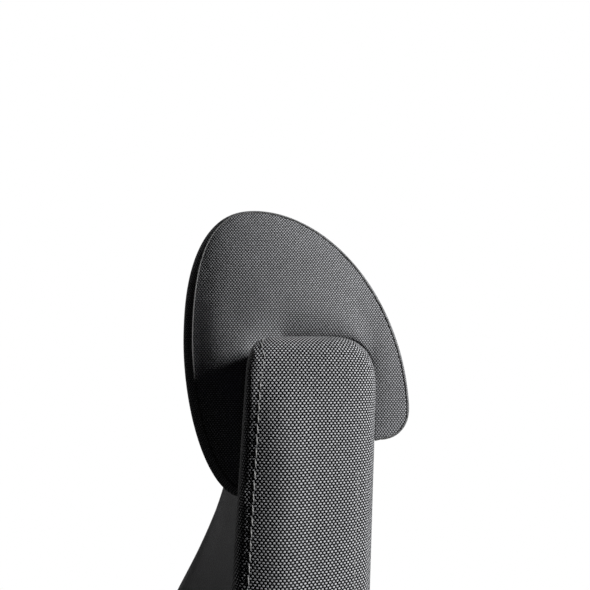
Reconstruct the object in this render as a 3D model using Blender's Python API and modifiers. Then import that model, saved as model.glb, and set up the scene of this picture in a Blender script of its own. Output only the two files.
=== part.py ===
"""Heavy-duty office chair with an upholstered back and a saddle headrest that straddles its top.

Metres, +Z up. The origin is on the floor under the lift column, and the sitter faces -Y.
"""

import math

import bmesh
import bpy
from mathutils import Matrix, Vector

# Clearances shared by all pieces
TOUCH_GAP = 0.0003
RUNNING_GAP = 0.0006

# Castors
CASTOR_COUNT = 5
CASTOR_CIRCLE_RADIUS = 0.325
CASTOR_TRAIL = 0.022
WHEEL_RADIUS = 0.0325
WHEEL_WIDTH = 0.022
WHEEL_SHOULDER = 0.006
WEB_THICKNESS = 0.012
HOOD_CLEARANCE = 0.0025
HOOD_WALL = 0.003
AXLE_RADIUS = 0.004
STEM_RADIUS = 0.0055
STEM_LENGTH = 0.024
STEM_COLLAR_RADIUS = 0.0115
CASTOR_HEADROOM = 0.002

# Five-star base
LEG_START = 0.010
LEG_END_WIDTH = 0.040
LEG_HUB_WIDTH = 0.060
LEG_END_HEIGHT = 0.026
LEG_HUB_HEIGHT = 0.046
LEG_RISE = 0.030
LEG_ROUNDING = 0.007
LEG_WALL = 0.006
HUB_RADIUS = 0.044
HUB_HEIGHT = 0.078
SOCKET_RADIUS = 0.0205
SOCKET_LIP = 0.001

# Lift column
TUBE_RADIUS = 0.025
TUBE_BOTTOM = 0.052
TUBE_TOP = 0.300
ROD_RADIUS = 0.014
ROD_OVERLAP = 0.190
TUBE_FLOOR_GAP = 0.010
BUSH_RIM = 0.004
COLUMN_HEADROOM = 0.006

# Tilt mechanism
HOUSING_WIDTH = 0.176
HOUSING_FRONT = -0.125
HOUSING_REAR = 0.125
HOUSING_HEIGHT = 0.060
HOUSING_REAR_DROP = 0.030
HOUSING_WALL = 0.004
SOCKET_BOSS_RADIUS = 0.024
SOCKET_BOSS_HEIGHT = 0.028
FRONT_PIVOT_Y = -0.100
FRONT_PIVOT_HEIGHT = 0.042
REAR_PIVOT_Y = 0.045
REAR_PIVOT_HEIGHT = 0.022
PIVOT_PIN_RADIUS = 0.006
CARRIER_HALF_WIDTH = 0.125
CARRIER_FRONT = -0.135
CARRIER_REAR = 0.165
CARRIER_THICKNESS = 0.006
CARRIER_HEADROOM = 0.006
LUG_THICKNESS = 0.008
LUG_OUTER = 0.074

# Hand controls
LEVER_RADIUS = 0.0045
LEVER_REACH = 0.270
LEVER_PADDLE_LENGTH = 0.070
LEVER_PADDLE_WIDTH = 0.030
LEVER_PADDLE_THICKNESS = 0.010
HEIGHT_LEVER_HEIGHT = 0.034
TILT_LEVER_Y = -0.060
TILT_LEVER_HEIGHT = 0.030
KNOB_RADIUS = 0.030
KNOB_SHAFT_RADIUS = 0.006
KNOB_HEIGHT = 0.032
KNOB_Y = -0.076
KNOB_DROP = 0.005
KNOB_GROOVES = 8

# Seat
RAIL_WALL = 0.006
RAIL_GRIP = 0.008
RAIL_LENGTH = 0.240
PAN_THICKNESS = 0.012
PAN_INSET = 0.020
PAN_CORNER = 0.060
SEAT_HALF_WIDTH = 0.260
SEAT_FRONT = -0.278
SEAT_REAR = 0.212
SEAT_HEIGHT = 0.088
SEAT_CROWN = 0.010
SEAT_WATERFALL = 0.028
SEAT_CORNER = 0.070
SEAT_EDGE_ROUND = 0.016
SLIDE_LEVER_Y = -0.135
SLIDE_LEVER_INSET = 0.064
SLIDE_LEVER_LENGTH = 0.072
SLIDE_LEVER_WIDTH = 0.050
SLIDE_LEVER_BARREL = 0.008
SLIDE_LEVER_THICKNESS = 0.005

# Back
BACK_TOP = 1.150
BACK_BOTTOM = 0.530
BACK_TOP_Y = 0.223
BACK_HALF_WIDTH = 0.240
BACK_THICKNESS = 0.069
BACK_LEAN_DEG = 3.0
BACK_HOLLOW = 0.0375
BACK_FRONT_ROLL = 0.0055
BACK_REAR_ROLL = 0.0080
BACK_TOP_FRONT_ROUND = 0.012
BACK_TOP_REAR_ROUND = 0.020
BACK_CORNER = 0.036
BACK_PANEL_CROWN = 0.006
BACK_TAPER = 0.14
BACK_TAPER_START = 0.300
BACK_TAPER_END = 0.620
BACK_ROWS = 14
BACK_STATION_SHARES = (1.0, 0.84, 0.66, 0.45, 0.22, 0.0)
LUMBAR_REACH = 0.022
LUMBAR_DROP = 0.470
LUMBAR_SPAN = 0.170
WING_REACH = 0.092
WING_START = 0.150
WING_FULL = 0.430
WING_END = 0.640
WING_END_SHARE = 0.45
WING_INNER = 0.090
WING_REAR_SHARE = 0.50

# Back shell, carriage and bar
SHELL_THICKNESS = 0.006
SHELL_MARGIN = 0.010
SHELL_CORNER = 0.090
SHELL_GAP = 0.0012
SHELL_FIRST_ROW = 4
SHELL_LAST_ROW = 12
CARRIAGE_WIDTH = 0.116
CARRIAGE_DEPTH = 0.040
CARRIAGE_TOP = 0.862
CARRIAGE_BOTTOM = 0.682
BAR_WIDTH = 0.080
BAR_THICKNESS = 0.022
BAR_TOP = 0.890
BAR_BEND = 0.060
CLAMP_KNOB_RADIUS = 0.021
CLAMP_SHANK_RADIUS = 0.004
CLAMP_KNOB_LENGTH = 0.024
CLAMP_KNOB_Z = 0.770

# Headrest, measured from the middle of the back's top edge at the end panel
HEADREST_HALF_WIDTH = 0.144
HEADREST_FRONT_REACH = 0.072
HEADREST_FRONT_BELLY = 0.007
HEADREST_APEX_Y = -0.025
HEADREST_DOME = 0.095
HEADREST_REAR_REACH = 0.0855
HEADREST_REAR_BELLY = -0.047
HEADREST_FRONT_DROP = 0.106
HEADREST_REAR_DROP = 0.068
HEADREST_FRONT_TOE = -0.033
HEADREST_REAR_WALL = 0.0628
HEADREST_FRONT_CLEARANCE = 0.005
HEADREST_TOP_CLEARANCE = 0.006
HEADREST_BROW_FULLNESS = 2.45
HEADREST_NAPE_FULLNESS = 1.90
HEADREST_CHIN_FULLNESS = 1.85
HEADREST_HEEL_ROUND = 0.020
HEADREST_TOE_ROUND = 0.010
HEADREST_EDGE_ROLL = 0.0060
POST_SPACING = 0.130
POST_RADIUS = 0.006
POST_IN_HEADREST = 0.050
POST_IN_BACK = 0.130
GUIDE_RADIUS = 0.0105
GUIDE_LENGTH = 0.045
GUIDE_FLANGE_RADIUS = 0.016
GUIDE_FLANGE = 0.003

# Arms
ARM_Y = -0.010
ARM_BRACKET_WIDTH = 0.070
ARM_BRACKET_THICKNESS = 0.008
ARM_BRACKET_INNER = 0.150
ARM_BRACKET_OUTER = 0.300
ARM_BRACKET_TOP = 0.500
ARM_BRACKET_BEND = 0.014
SLEEVE_WIDTH = 0.036
SLEEVE_DEPTH = 0.088
SLEEVE_BOTTOM = 0.400
SLEEVE_TOP = 0.610
SLEEVE_WALL = 0.006
SLEEVE_ROUND = 0.008
STEM_PLATE_GAP = 0.012
ARM_STEM_OVERLAP = 0.160
BUTTON_RADIUS = 0.008
BUTTON_STANDS = 0.004
BUTTON_PRESS = 0.003
BUTTON_DROP = 0.030
PAD_PLATE_WIDTH = 0.070
PAD_PLATE_LENGTH = 0.200
PAD_PLATE_THICKNESS = 0.008
PAD_PLATE_CORNER = 0.020
PAD_WIDTH = 0.096
PAD_LENGTH = 0.260
PAD_HEIGHT = 0.030
PAD_ROUND = 0.012
PAD_FORWARD = 0.020

# Levels and offsets that follow from the sizes above
CASTOR_TOP = 2 * WHEEL_RADIUS + HOOD_CLEARANCE + HOOD_WALL
LEG_END_BOTTOM = CASTOR_TOP + CASTOR_HEADROOM
HUB_BOTTOM = LEG_END_BOTTOM + 0.010
HUB_TOP = HUB_BOTTOM + HUB_HEIGHT
HOUSING_BOTTOM = TUBE_TOP + BUSH_RIM + COLUMN_HEADROOM
HOUSING_TOP = HOUSING_BOTTOM + HOUSING_HEIGHT
FRONT_PIVOT_Z = HOUSING_BOTTOM + FRONT_PIVOT_HEIGHT
REAR_PIVOT_Z = HOUSING_BOTTOM + REAR_PIVOT_HEIGHT
CARRIER_BOTTOM = HOUSING_TOP + CARRIER_HEADROOM
CARRIER_TOP = CARRIER_BOTTOM + CARRIER_THICKNESS
PAN_BOTTOM = CARRIER_TOP + RUNNING_GAP + RAIL_WALL + TOUCH_GAP
PAN_TOP = PAN_BOTTOM + PAN_THICKNESS
SEAT_BOTTOM = PAN_TOP + TOUCH_GAP
SLIDE_LEVER_X = SEAT_HALF_WIDTH - SLIDE_LEVER_INSET
LEAN = math.tan(math.radians(BACK_LEAN_DEG))
LEAN_ANGLE = math.radians(BACK_LEAN_DEG)
LEAN_AXIS = Vector((0.0, math.sin(LEAN_ANGLE), math.cos(LEAN_ANGLE)))
BAR_OFFSET = BACK_THICKNESS / 2 + BACK_HOLLOW + SHELL_GAP + SHELL_THICKNESS + TOUCH_GAP
PAD_PLATE_BOTTOM = SLEEVE_TOP + STEM_PLATE_GAP
PAD_BOTTOM = PAD_PLATE_BOTTOM + PAD_PLATE_THICKNESS + TOUCH_GAP
SLEEVE_INNER_X = ARM_BRACKET_OUTER + TOUCH_GAP
SLEEVE_MIDDLE_X = SLEEVE_INNER_X + SLEEVE_WIDTH / 2


def clear_scene():
    for obj in list(bpy.data.objects):
        bpy.data.objects.remove(obj, do_unlink=True)


clear_scene()
PARTS = bpy.data.collections.new("heavy_duty_office_chair")
HELPERS = bpy.data.collections.new("helpers")
bpy.context.scene.collection.children.link(PARTS)
bpy.context.scene.collection.children.link(HELPERS)


def finish(name, colour, roughness, metallic=0.0):
    """A plain Principled material."""
    made = bpy.data.materials.new(name)
    made.use_nodes = True
    shader = made.node_tree.nodes["Principled BSDF"]
    shader.inputs["Base Color"].default_value = (*colour, 1.0)
    shader.inputs["Roughness"].default_value = roughness
    shader.inputs["Metallic"].default_value = metallic
    return made


FABRIC = finish("charcoal_fabric", (0.085, 0.085, 0.088), 0.95)
BLACK_PLASTIC = finish("black_plastic", (0.020, 0.020, 0.021), 0.45)
SOFT_TYRE = finish("grey_tyre", (0.045, 0.045, 0.047), 0.65)
ALUMINIUM = finish("satin_aluminium", (0.62, 0.63, 0.64), 0.32, 1.0)
BLACK_STEEL = finish("black_steel", (0.030, 0.030, 0.032), 0.38, 0.6)
CHROME = finish("chromed_steel", (0.70, 0.70, 0.71), 0.12, 1.0)
PLYWOOD = finish("seat_plywood", (0.42, 0.29, 0.16), 0.60)
PAD_FOAM = finish("pad_foam", (0.025, 0.025, 0.026), 0.70)


def place(name, mesh, material, smooth=False):
    """A new part made of a mesh in world coordinates."""
    obj = bpy.data.objects.new(name, mesh)
    mesh.materials.clear()
    mesh.materials.append(material)
    PARTS.objects.link(obj)
    if smooth:
        mesh.shade_smooth()
    return obj


def helper(name, mesh):
    """A hidden solid that a Boolean reads."""
    obj = bpy.data.objects.new(name, mesh)
    HELPERS.objects.link(obj)
    obj.hide_render = True
    obj.display_type = "WIRE"
    return obj


def move_origin(obj, point):
    """Puts the object's origin on a joint axis and leaves its shape where it is."""
    obj.data.transform(Matrix.Translation(-Vector(point)))
    obj.location = point
    return obj


def boolean(obj, other, operation):
    modifier = obj.modifiers.new(f"{operation.lower()} {other.name}", "BOOLEAN")
    modifier.operation = operation
    modifier.object = other
    return obj


def cut(obj, *others):
    for other in others:
        boolean(obj, other, "DIFFERENCE")
    return obj


def join(obj, *others):
    for other in others:
        boolean(obj, other, "UNION")
    return obj


def bake(obj):
    """The evaluated mesh of an object, with its modifiers and its placing in it."""
    bpy.context.view_layer.update()
    graph = bpy.context.evaluated_depsgraph_get()
    evaluated = obj.evaluated_get(graph)
    mesh = bpy.data.meshes.new_from_object(evaluated)
    mesh.transform(obj.matrix_world)
    shape = bmesh.new()
    shape.from_mesh(mesh)
    bmesh.ops.remove_doubles(shape, verts=shape.verts, dist=1e-6)
    bmesh.ops.recalc_face_normals(shape, faces=shape.faces)
    shape.to_mesh(mesh)
    shape.free()
    return mesh


def mesh_from(shape, name):
    bmesh.ops.recalc_face_normals(shape, faces=shape.faces)
    mesh = bpy.data.meshes.new(name)
    shape.to_mesh(mesh)
    shape.free()
    return mesh


def block(name, low, high, rounding=0.0, segments=2, along=None):
    """A box between two corners. Edges along one axis, or all of them, are rounded."""
    shape = bmesh.new()
    bmesh.ops.create_cube(shape, size=1.0)
    for vert in shape.verts:
        vert.co = Vector(l + (c + 0.5) * (h - l) for c, l, h in zip(vert.co, low, high))
    if rounding:
        edges = list(shape.edges)
        if along is not None:
            axis = "xyz".index(along)
            edges = [e for e in edges if abs((e.verts[0].co - e.verts[1].co).normalized()[axis]) > 0.9]
        bmesh.ops.bevel(
            shape, geom=edges, offset=rounding, segments=segments, profile=0.5, affect="EDGES", material=-1
        )
    return mesh_from(shape, name)


def rod(name, start, end, radius, sides=16):
    """A plain round bar between two points."""
    start = Vector(start)
    end = Vector(end)
    shape = bmesh.new()
    turn = (end - start).to_track_quat("Z", "Y").to_matrix().to_4x4()
    middle = Matrix.Translation((start + end) / 2)
    bmesh.ops.create_cone(
        shape,
        cap_ends=True,
        segments=sides,
        radius1=radius,
        radius2=radius,
        depth=(end - start).length,
        matrix=middle @ turn,
    )
    return mesh_from(shape, name)


def turned(name, profile, steps, closed=False):
    """A solid of revolution about Z from (radius, height) points that run down the outer side."""
    mesh = bpy.data.meshes.new(name)
    points = [(radius, 0.0, height) for radius, height in profile]
    edges = [(i, i + 1) for i in range(len(points) - 1)]
    if closed:
        edges.append((len(points) - 1, 0))
    mesh.from_pydata(points, edges, [])
    source = helper(f"{name} profile", mesh)
    screw = source.modifiers.new("turn", "SCREW")
    screw.steps = steps
    screw.render_steps = steps
    screw.use_merge_vertices = True
    screw.merge_threshold = 0.00001
    baked = bake(source)
    bpy.data.objects.remove(source)
    return baked


def plate(name, outlines, depth, turn):
    """A flat plate from closed outlines, the inner ones being holes, half its depth either way."""
    curve = bpy.data.curves.new(name, "CURVE")
    curve.dimensions = "2D"
    curve.fill_mode = "BOTH"
    curve.extrude = depth / 2
    for outline in outlines:
        spline = curve.splines.new("POLY")
        spline.points.add(len(outline) - 1)
        for point, (u, v) in zip(spline.points, outline):
            point.co = (u, v, 0.0, 1.0)
        spline.use_cyclic_u = True
    source = helper(f"{name} outline", curve)
    source.matrix_world = turn
    baked = bake(source)
    bpy.data.objects.remove(source)
    return baked


def arc(centre, radius, start_deg, end_deg, count):
    """Points of a circular arc, both ends included."""
    angles = [math.radians(start_deg + (end_deg - start_deg) * i / (count - 1)) for i in range(count)]
    return [(centre[0] + radius * math.cos(a), centre[1] + radius * math.sin(a)) for a in angles]


def ring(centre, radius, count):
    return arc(centre, radius, 0.0, 360.0, count + 1)[:-1]


def loft(name, rings, ladder_from=None):
    """A closed skin through rings of equal point count, capped at both ends.

    A cap is one face, or a ladder of faces across the ring from the point named.
    """
    shape = bmesh.new()
    loops = [[shape.verts.new(point) for point in points] for points in rings]
    for first, second in zip(loops, loops[1:]):
        count = len(first)
        for i in range(count):
            j = (i + 1) % count
            shape.faces.new((first[i], first[j], second[j], second[i]))
    for loop in (loops[0], loops[-1]):
        if ladder_from is None:
            shape.faces.new(loop)
            continue
        count = len(loop)
        for k in range(count // 2 - 1):
            near = loop[(ladder_from + k) % count]
            near_next = loop[(ladder_from + k + 1) % count]
            far = loop[(ladder_from - 1 - k) % count]
            far_next = loop[(ladder_from - 2 - k) % count]
            shape.faces.new((near, near_next, far_next, far))
    return mesh_from(shape, name)


def ramp(low, high, value):
    """0 below low, 1 above high, and smooth between them."""
    t = min(1.0, max(0.0, (value - low) / (high - low)))
    return t * t * (3.0 - 2.0 * t)


# Plates drawn in the YZ plane and extruded along X
ACROSS = Matrix(((0, 0, 1, 0), (1, 0, 0, 0), (0, 1, 0, 0), (0, 0, 0, 1)))


# Five-star base with a castor socket under each leg end
def leg_solid(name, start, end, inset, drop):
    """Part of a tapering leg along +X. Inset and drop shrink it to the channel under the leg."""
    shape = bmesh.new()
    bmesh.ops.create_cube(shape, size=1.0)
    for vert in shape.verts:
        x = end if vert.co.x > 0 else start
        share = x / CASTOR_CIRCLE_RADIUS
        width = LEG_HUB_WIDTH + (LEG_END_WIDTH - LEG_HUB_WIDTH) * share - 2 * inset
        height = LEG_HUB_HEIGHT + (LEG_END_HEIGHT - LEG_HUB_HEIGHT) * share
        bottom = LEG_END_BOTTOM + SOCKET_LIP + LEG_RISE * (1 - share) - drop
        vert.co = (x, math.copysign(width / 2, vert.co.y), bottom + height if vert.co.z > 0 else bottom)
    if not inset:
        long_edges = [e for e in shape.edges if abs(e.verts[0].co.x - e.verts[1].co.x) > LEG_HUB_WIDTH]
        bmesh.ops.bevel(
            shape, geom=long_edges, offset=LEG_ROUNDING, segments=2, profile=0.5, affect="EDGES", material=-1
        )
    return mesh_from(shape, name)


def turned_about_z(mesh, angle):
    copy = mesh.copy()
    copy.transform(Matrix.Rotation(angle, 4, "Z"))
    return copy


def castor_angles():
    return [math.radians(-90.0 + 360.0 * i / CASTOR_COUNT) for i in range(CASTOR_COUNT)]


def build_base():
    hub = rod("base_star", (0, 0, HUB_BOTTOM), (0, 0, HUB_TOP), HUB_RADIUS, 24)
    star = place("base_star", hub, ALUMINIUM)
    circle = CASTOR_CIRCLE_RADIUS
    leg = leg_solid("leg", LEG_START, circle, 0.0, 0.0)
    channel_end = circle - SOCKET_RADIUS - LEG_WALL
    channel = leg_solid("leg channel", HUB_RADIUS + LEG_WALL, channel_end, LEG_WALL, 2 * LEG_WALL)
    socket_top = LEG_END_BOTTOM + LEG_END_HEIGHT + 2 * SOCKET_LIP
    socket = rod("socket", (circle, 0, LEG_END_BOTTOM), (circle, 0, socket_top), SOCKET_RADIUS, 14)
    bore_top = LEG_END_BOTTOM + STEM_LENGTH - CASTOR_HEADROOM
    bore_bottom = LEG_END_BOTTOM - 2 * SOCKET_LIP
    bore_radius = STEM_RADIUS + TOUCH_GAP
    stem_bore = rod("stem bore", (circle, 0, bore_bottom), (circle, 0, bore_top), bore_radius, 10)
    for i, angle in enumerate(castor_angles()):
        arm = helper(f"leg {i}", turned_about_z(leg, angle))
        cut(arm, helper(f"leg channel {i}", turned_about_z(channel, angle)))
        join(arm, helper(f"socket {i}", turned_about_z(socket, angle)))
        cut(arm, helper(f"stem bore {i}", turned_about_z(stem_bore, angle)))
        join(star, arm)
    column_bore = rod("column bore", (0, 0, 0), (0, 0, 2 * HUB_TOP), TUBE_RADIUS + TOUCH_GAP, 24)
    cut(star, helper("column bore", column_bore))


# Castors: a hooded web on a stem, two wheels and their axle
def castor_frame_mesh():
    """The hooded web, in the castor's own frame: stem on Z, wheels trailing along +Y."""
    centre = (CASTOR_TRAIL, WHEEL_RADIUS)
    inner = WHEEL_RADIUS + HOOD_CLEARANCE
    outer = inner + HOOD_WALL
    hood_arc = arc(centre, outer, -8, 188, 11) + arc(centre, inner, 188, -8, 11)
    width = WEB_THICKNESS + 2 * (WHEEL_WIDTH + 2 * RUNNING_GAP)
    hood = helper("castor hood", plate("castor hood", [hood_arc], width, ACROSS))
    web_arc = arc(centre, inner + HOOD_WALL / 2, -20, 200, 10)
    axle_hole = ring(centre, AXLE_RADIUS + TOUCH_GAP, 8)
    web = helper("castor web", plate("castor web", [web_arc, axle_hole], WEB_THICKNESS, ACROSS))
    near = CASTOR_TRAIL - STEM_COLLAR_RADIUS
    collar_bottom = (0, 0, WHEEL_RADIUS + math.sqrt(inner**2 - near**2) + HOOD_WALL / 10)
    collar_top = (0, 0, CASTOR_TOP + CASTOR_HEADROOM - TOUCH_GAP)
    collar = helper("collar", rod("collar", collar_bottom, collar_top, STEM_COLLAR_RADIUS, 12))
    stem_bottom = (0, 0, WHEEL_RADIUS * 1.3)
    stem_top = (0, 0, LEG_END_BOTTOM + STEM_LENGTH - CASTOR_HEADROOM - TOUCH_GAP)
    stem = helper("castor stem", rod("castor stem", stem_bottom, stem_top, STEM_RADIUS, 10))
    join(hood, web, collar, stem)
    return bake(hood)


def wheel_mesh():
    """One wheel about Z, with rounded shoulders, a dished face and a bore for the axle."""
    half = WHEEL_WIDTH / 2
    bore = AXLE_RADIUS + TOUCH_GAP
    rim = WHEEL_RADIUS * 0.70
    dish = half * 0.25
    profile = [
        (bore, half - dish),
        (rim, half - dish),
        (rim + dish, half),
        (WHEEL_RADIUS - WHEEL_SHOULDER * 0.5, half),
        (WHEEL_RADIUS, half - WHEEL_SHOULDER * 0.7),
        (WHEEL_RADIUS, -half + WHEEL_SHOULDER * 0.7),
        (WHEEL_RADIUS - WHEEL_SHOULDER * 0.5, -half),
        (bore, -half),
    ]
    mesh = turned("castor wheel", profile, 18, closed=True)
    mesh.transform(Matrix.Rotation(math.pi / 2, 4, "Y"))
    return mesh


def build_castors():
    frame_mesh = castor_frame_mesh()
    wheel = wheel_mesh()
    reach = WEB_THICKNESS / 2 + RUNNING_GAP + WHEEL_WIDTH
    axle = rod("castor axle", (-reach, 0, 0), (reach, 0, 0), AXLE_RADIUS, 12)
    offset = WEB_THICKNESS / 2 + RUNNING_GAP + WHEEL_WIDTH / 2
    for i, angle in enumerate(castor_angles()):
        number = i + 1
        stem = Vector((math.cos(angle), math.sin(angle), 0.0)) * CASTOR_CIRCLE_RADIUS
        heading = Matrix.Rotation(angle, 4, "Z")
        frame = place(f"castor_frame_{number}", frame_mesh.copy(), BLACK_PLASTIC)
        frame.matrix_world = Matrix.Translation(stem) @ heading
        to_axle = Matrix.Translation(stem) @ heading @ Matrix.Translation((0, CASTOR_TRAIL, WHEEL_RADIUS))
        for side, name in ((-1, "inner"), (1, "outer")):
            half = wheel.copy()
            if side < 0:
                half.transform(Matrix.Rotation(math.pi, 4, "Z"))
            piece = place(f"castor_wheel_{name}_{number}", half, SOFT_TYRE, smooth=True)
            half.transform(Matrix.Translation((side * offset, 0, 0)))
            piece.matrix_world = to_axle
        pin = place(f"castor_axle_{number}", axle.copy(), BLACK_STEEL, smooth=True)
        pin.matrix_world = to_axle


# Gas lift column
def build_column():
    bore = ROD_RADIUS + RUNNING_GAP
    floor = TUBE_TOP - ROD_OVERLAP - TUBE_FLOOR_GAP
    profile = [
        (0.0, floor),
        (bore, floor),
        (bore, TUBE_TOP),
        (TUBE_RADIUS, TUBE_TOP),
        (TUBE_RADIUS, TUBE_BOTTOM),
        (0.0, TUBE_BOTTOM),
    ]
    place("gas_lift_tube", turned("gas lift tube", profile, 24), BLACK_STEEL)
    bush_bottom = TUBE_TOP + TOUCH_GAP
    bush = [
        (bore, bush_bottom + BUSH_RIM),
        (TUBE_RADIUS - 0.001, bush_bottom + BUSH_RIM),
        (TUBE_RADIUS, bush_bottom + BUSH_RIM - 0.001),
        (TUBE_RADIUS, bush_bottom),
        (bore, bush_bottom),
    ]
    place("lift_guide_bush", turned("lift guide bush", bush, 18, closed=True), BLACK_PLASTIC)
    rod_top = HOUSING_BOTTOM + SOCKET_BOSS_HEIGHT
    lift = rod("gas lift rod", (0, 0, TUBE_TOP - ROD_OVERLAP), (0, 0, rod_top), ROD_RADIUS, 24)
    place("gas_lift_rod", lift, CHROME)


# Tilt mechanism
def build_housing():
    half = HOUSING_WIDTH / 2
    wall = HOUSING_WALL
    side = [
        (HOUSING_FRONT, HOUSING_BOTTOM),
        (HOUSING_REAR, HOUSING_BOTTOM),
        (HOUSING_REAR, HOUSING_TOP - HOUSING_REAR_DROP),
        (HOUSING_FRONT, HOUSING_TOP),
    ]
    tub = place("mechanism_housing", plate("housing", [side], HOUSING_WIDTH, ACROSS), BLACK_STEEL)
    inside_low = (-half + wall, HOUSING_FRONT + wall, HOUSING_BOTTOM + wall)
    inside_high = (half - wall, HOUSING_REAR + 0.05, HOUSING_TOP + 0.05)
    cut(tub, helper("housing inside", block("housing inside", inside_low, inside_high)))
    bar_half = BAR_WIDTH / 2 + 0.006
    bar_low = (-bar_half, REAR_PIVOT_Y + 0.008, HOUSING_BOTTOM - 0.05)
    bar_high = (bar_half, HOUSING_REAR + 0.05, HOUSING_TOP)
    cut(tub, helper("bar room", block("bar room", bar_low, bar_high)))
    boss_top = (0, 0, HOUSING_BOTTOM + SOCKET_BOSS_HEIGHT)
    boss = rod("boss", (0, 0, HOUSING_BOTTOM + wall / 2), boss_top, SOCKET_BOSS_RADIUS, 24)
    join(tub, helper("column boss", boss))
    below = (0, 0, HOUSING_BOTTOM - 0.05)
    above = (0, 0, HOUSING_TOP + 0.05)
    cut(tub, helper("column socket", rod("column socket", below, above, ROD_RADIUS + TOUCH_GAP, 24)))
    for name, y, z in (
        ("front", FRONT_PIVOT_Y, FRONT_PIVOT_Z),
        ("rear", REAR_PIVOT_Y, REAR_PIVOT_Z),
    ):
        hole = rod(f"{name} pin hole", (-0.2, y, z), (0.2, y, z), PIVOT_PIN_RADIUS + TOUCH_GAP, 16)
        cut(tub, helper(f"{name} pin hole", hole))
        pin = rod(f"{name} pin", (-half, y, z), (half, y, z), PIVOT_PIN_RADIUS, 16)
        place(f"{name}_pivot_pin", pin, CHROME)
    lever_z = HOUSING_BOTTOM + HEIGHT_LEVER_HEIGHT
    notch_half = LEVER_RADIUS + RUNNING_GAP
    notch_low = (-0.2, -notch_half, lever_z - notch_half)
    notch_high = (-half + wall + 0.010, notch_half, HOUSING_TOP + 0.05)
    cut(tub, helper("height lever notch", block("height lever notch", notch_low, notch_high)))
    tilt_z = HOUSING_BOTTOM + TILT_LEVER_HEIGHT
    tilt_in = (half - wall * 2, TILT_LEVER_Y, tilt_z)
    tilt_out = (half + wall, TILT_LEVER_Y, tilt_z)
    tilt_hole = rod("tilt hole", tilt_in, tilt_out, LEVER_RADIUS + RUNNING_GAP)
    cut(tub, helper("tilt lever hole", tilt_hole))
    knob_low = (0, KNOB_Y, HOUSING_BOTTOM - wall)
    knob_high = (0, KNOB_Y, HOUSING_BOTTOM + wall * 2)
    knob_hole = rod("knob hole", knob_low, knob_high, KNOB_SHAFT_RADIUS + RUNNING_GAP)
    cut(tub, helper("knob hole", knob_hole))


def build_controls():
    half = HOUSING_WIDTH / 2
    lever_z = HOUSING_BOTTOM + HEIGHT_LEVER_HEIGHT
    tilt_z = HOUSING_BOTTOM + TILT_LEVER_HEIGHT
    for name, side, y, z, inner in (
        ("height_lever", -1, 0.0, lever_z, 0.030),
        ("tilt_lever", 1, TILT_LEVER_Y, tilt_z, 0.050),
    ):
        bar = rod(name, (side * inner, y, z), (side * LEVER_REACH, y, z), LEVER_RADIUS, 12)
        lever = place(name, bar, BLACK_PLASTIC)
        outer = LEVER_REACH + 0.004
        ends = sorted((side * outer, side * (outer - LEVER_PADDLE_LENGTH)))
        low = (ends[0], y - LEVER_PADDLE_WIDTH / 2, z - LEVER_PADDLE_THICKNESS / 2)
        high = (ends[1], y + LEVER_PADDLE_WIDTH / 2, z + LEVER_PADDLE_THICKNESS / 2)
        join(lever, helper(f"{name} paddle", block(f"{name} paddle", low, high, 0.0045)))
        pivot_x = side * (half - HOUSING_WALL / 2)
        move_origin(lever, (pivot_x, y, z))
    top = HOUSING_BOTTOM - KNOB_DROP
    bottom = top - KNOB_HEIGHT
    profile = [
        (0.0, HOUSING_BOTTOM + 0.020),
        (KNOB_SHAFT_RADIUS, HOUSING_BOTTOM + 0.020),
        (KNOB_SHAFT_RADIUS, top),
        (KNOB_RADIUS * 0.80, top),
        (KNOB_RADIUS, top - 0.006),
        (KNOB_RADIUS, bottom + 0.006),
        (KNOB_RADIUS * 0.82, bottom),
        (0.0, bottom),
    ]
    knob = place("tension_knob", turned("tension knob", profile, 24), BLACK_PLASTIC)
    knob.location = (0, KNOB_Y, 0)
    for i in range(KNOB_GROOVES):
        angle = 2 * math.pi * i / KNOB_GROOVES
        x = math.cos(angle) * (KNOB_RADIUS + 0.003)
        y = KNOB_Y + math.sin(angle) * (KNOB_RADIUS + 0.003)
        groove = rod(f"knob groove {i}", (x, y, bottom - 0.01), (x, y, top + 0.002), 0.0055, 8)
        cut(knob, helper(f"knob groove {i}", groove))


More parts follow.
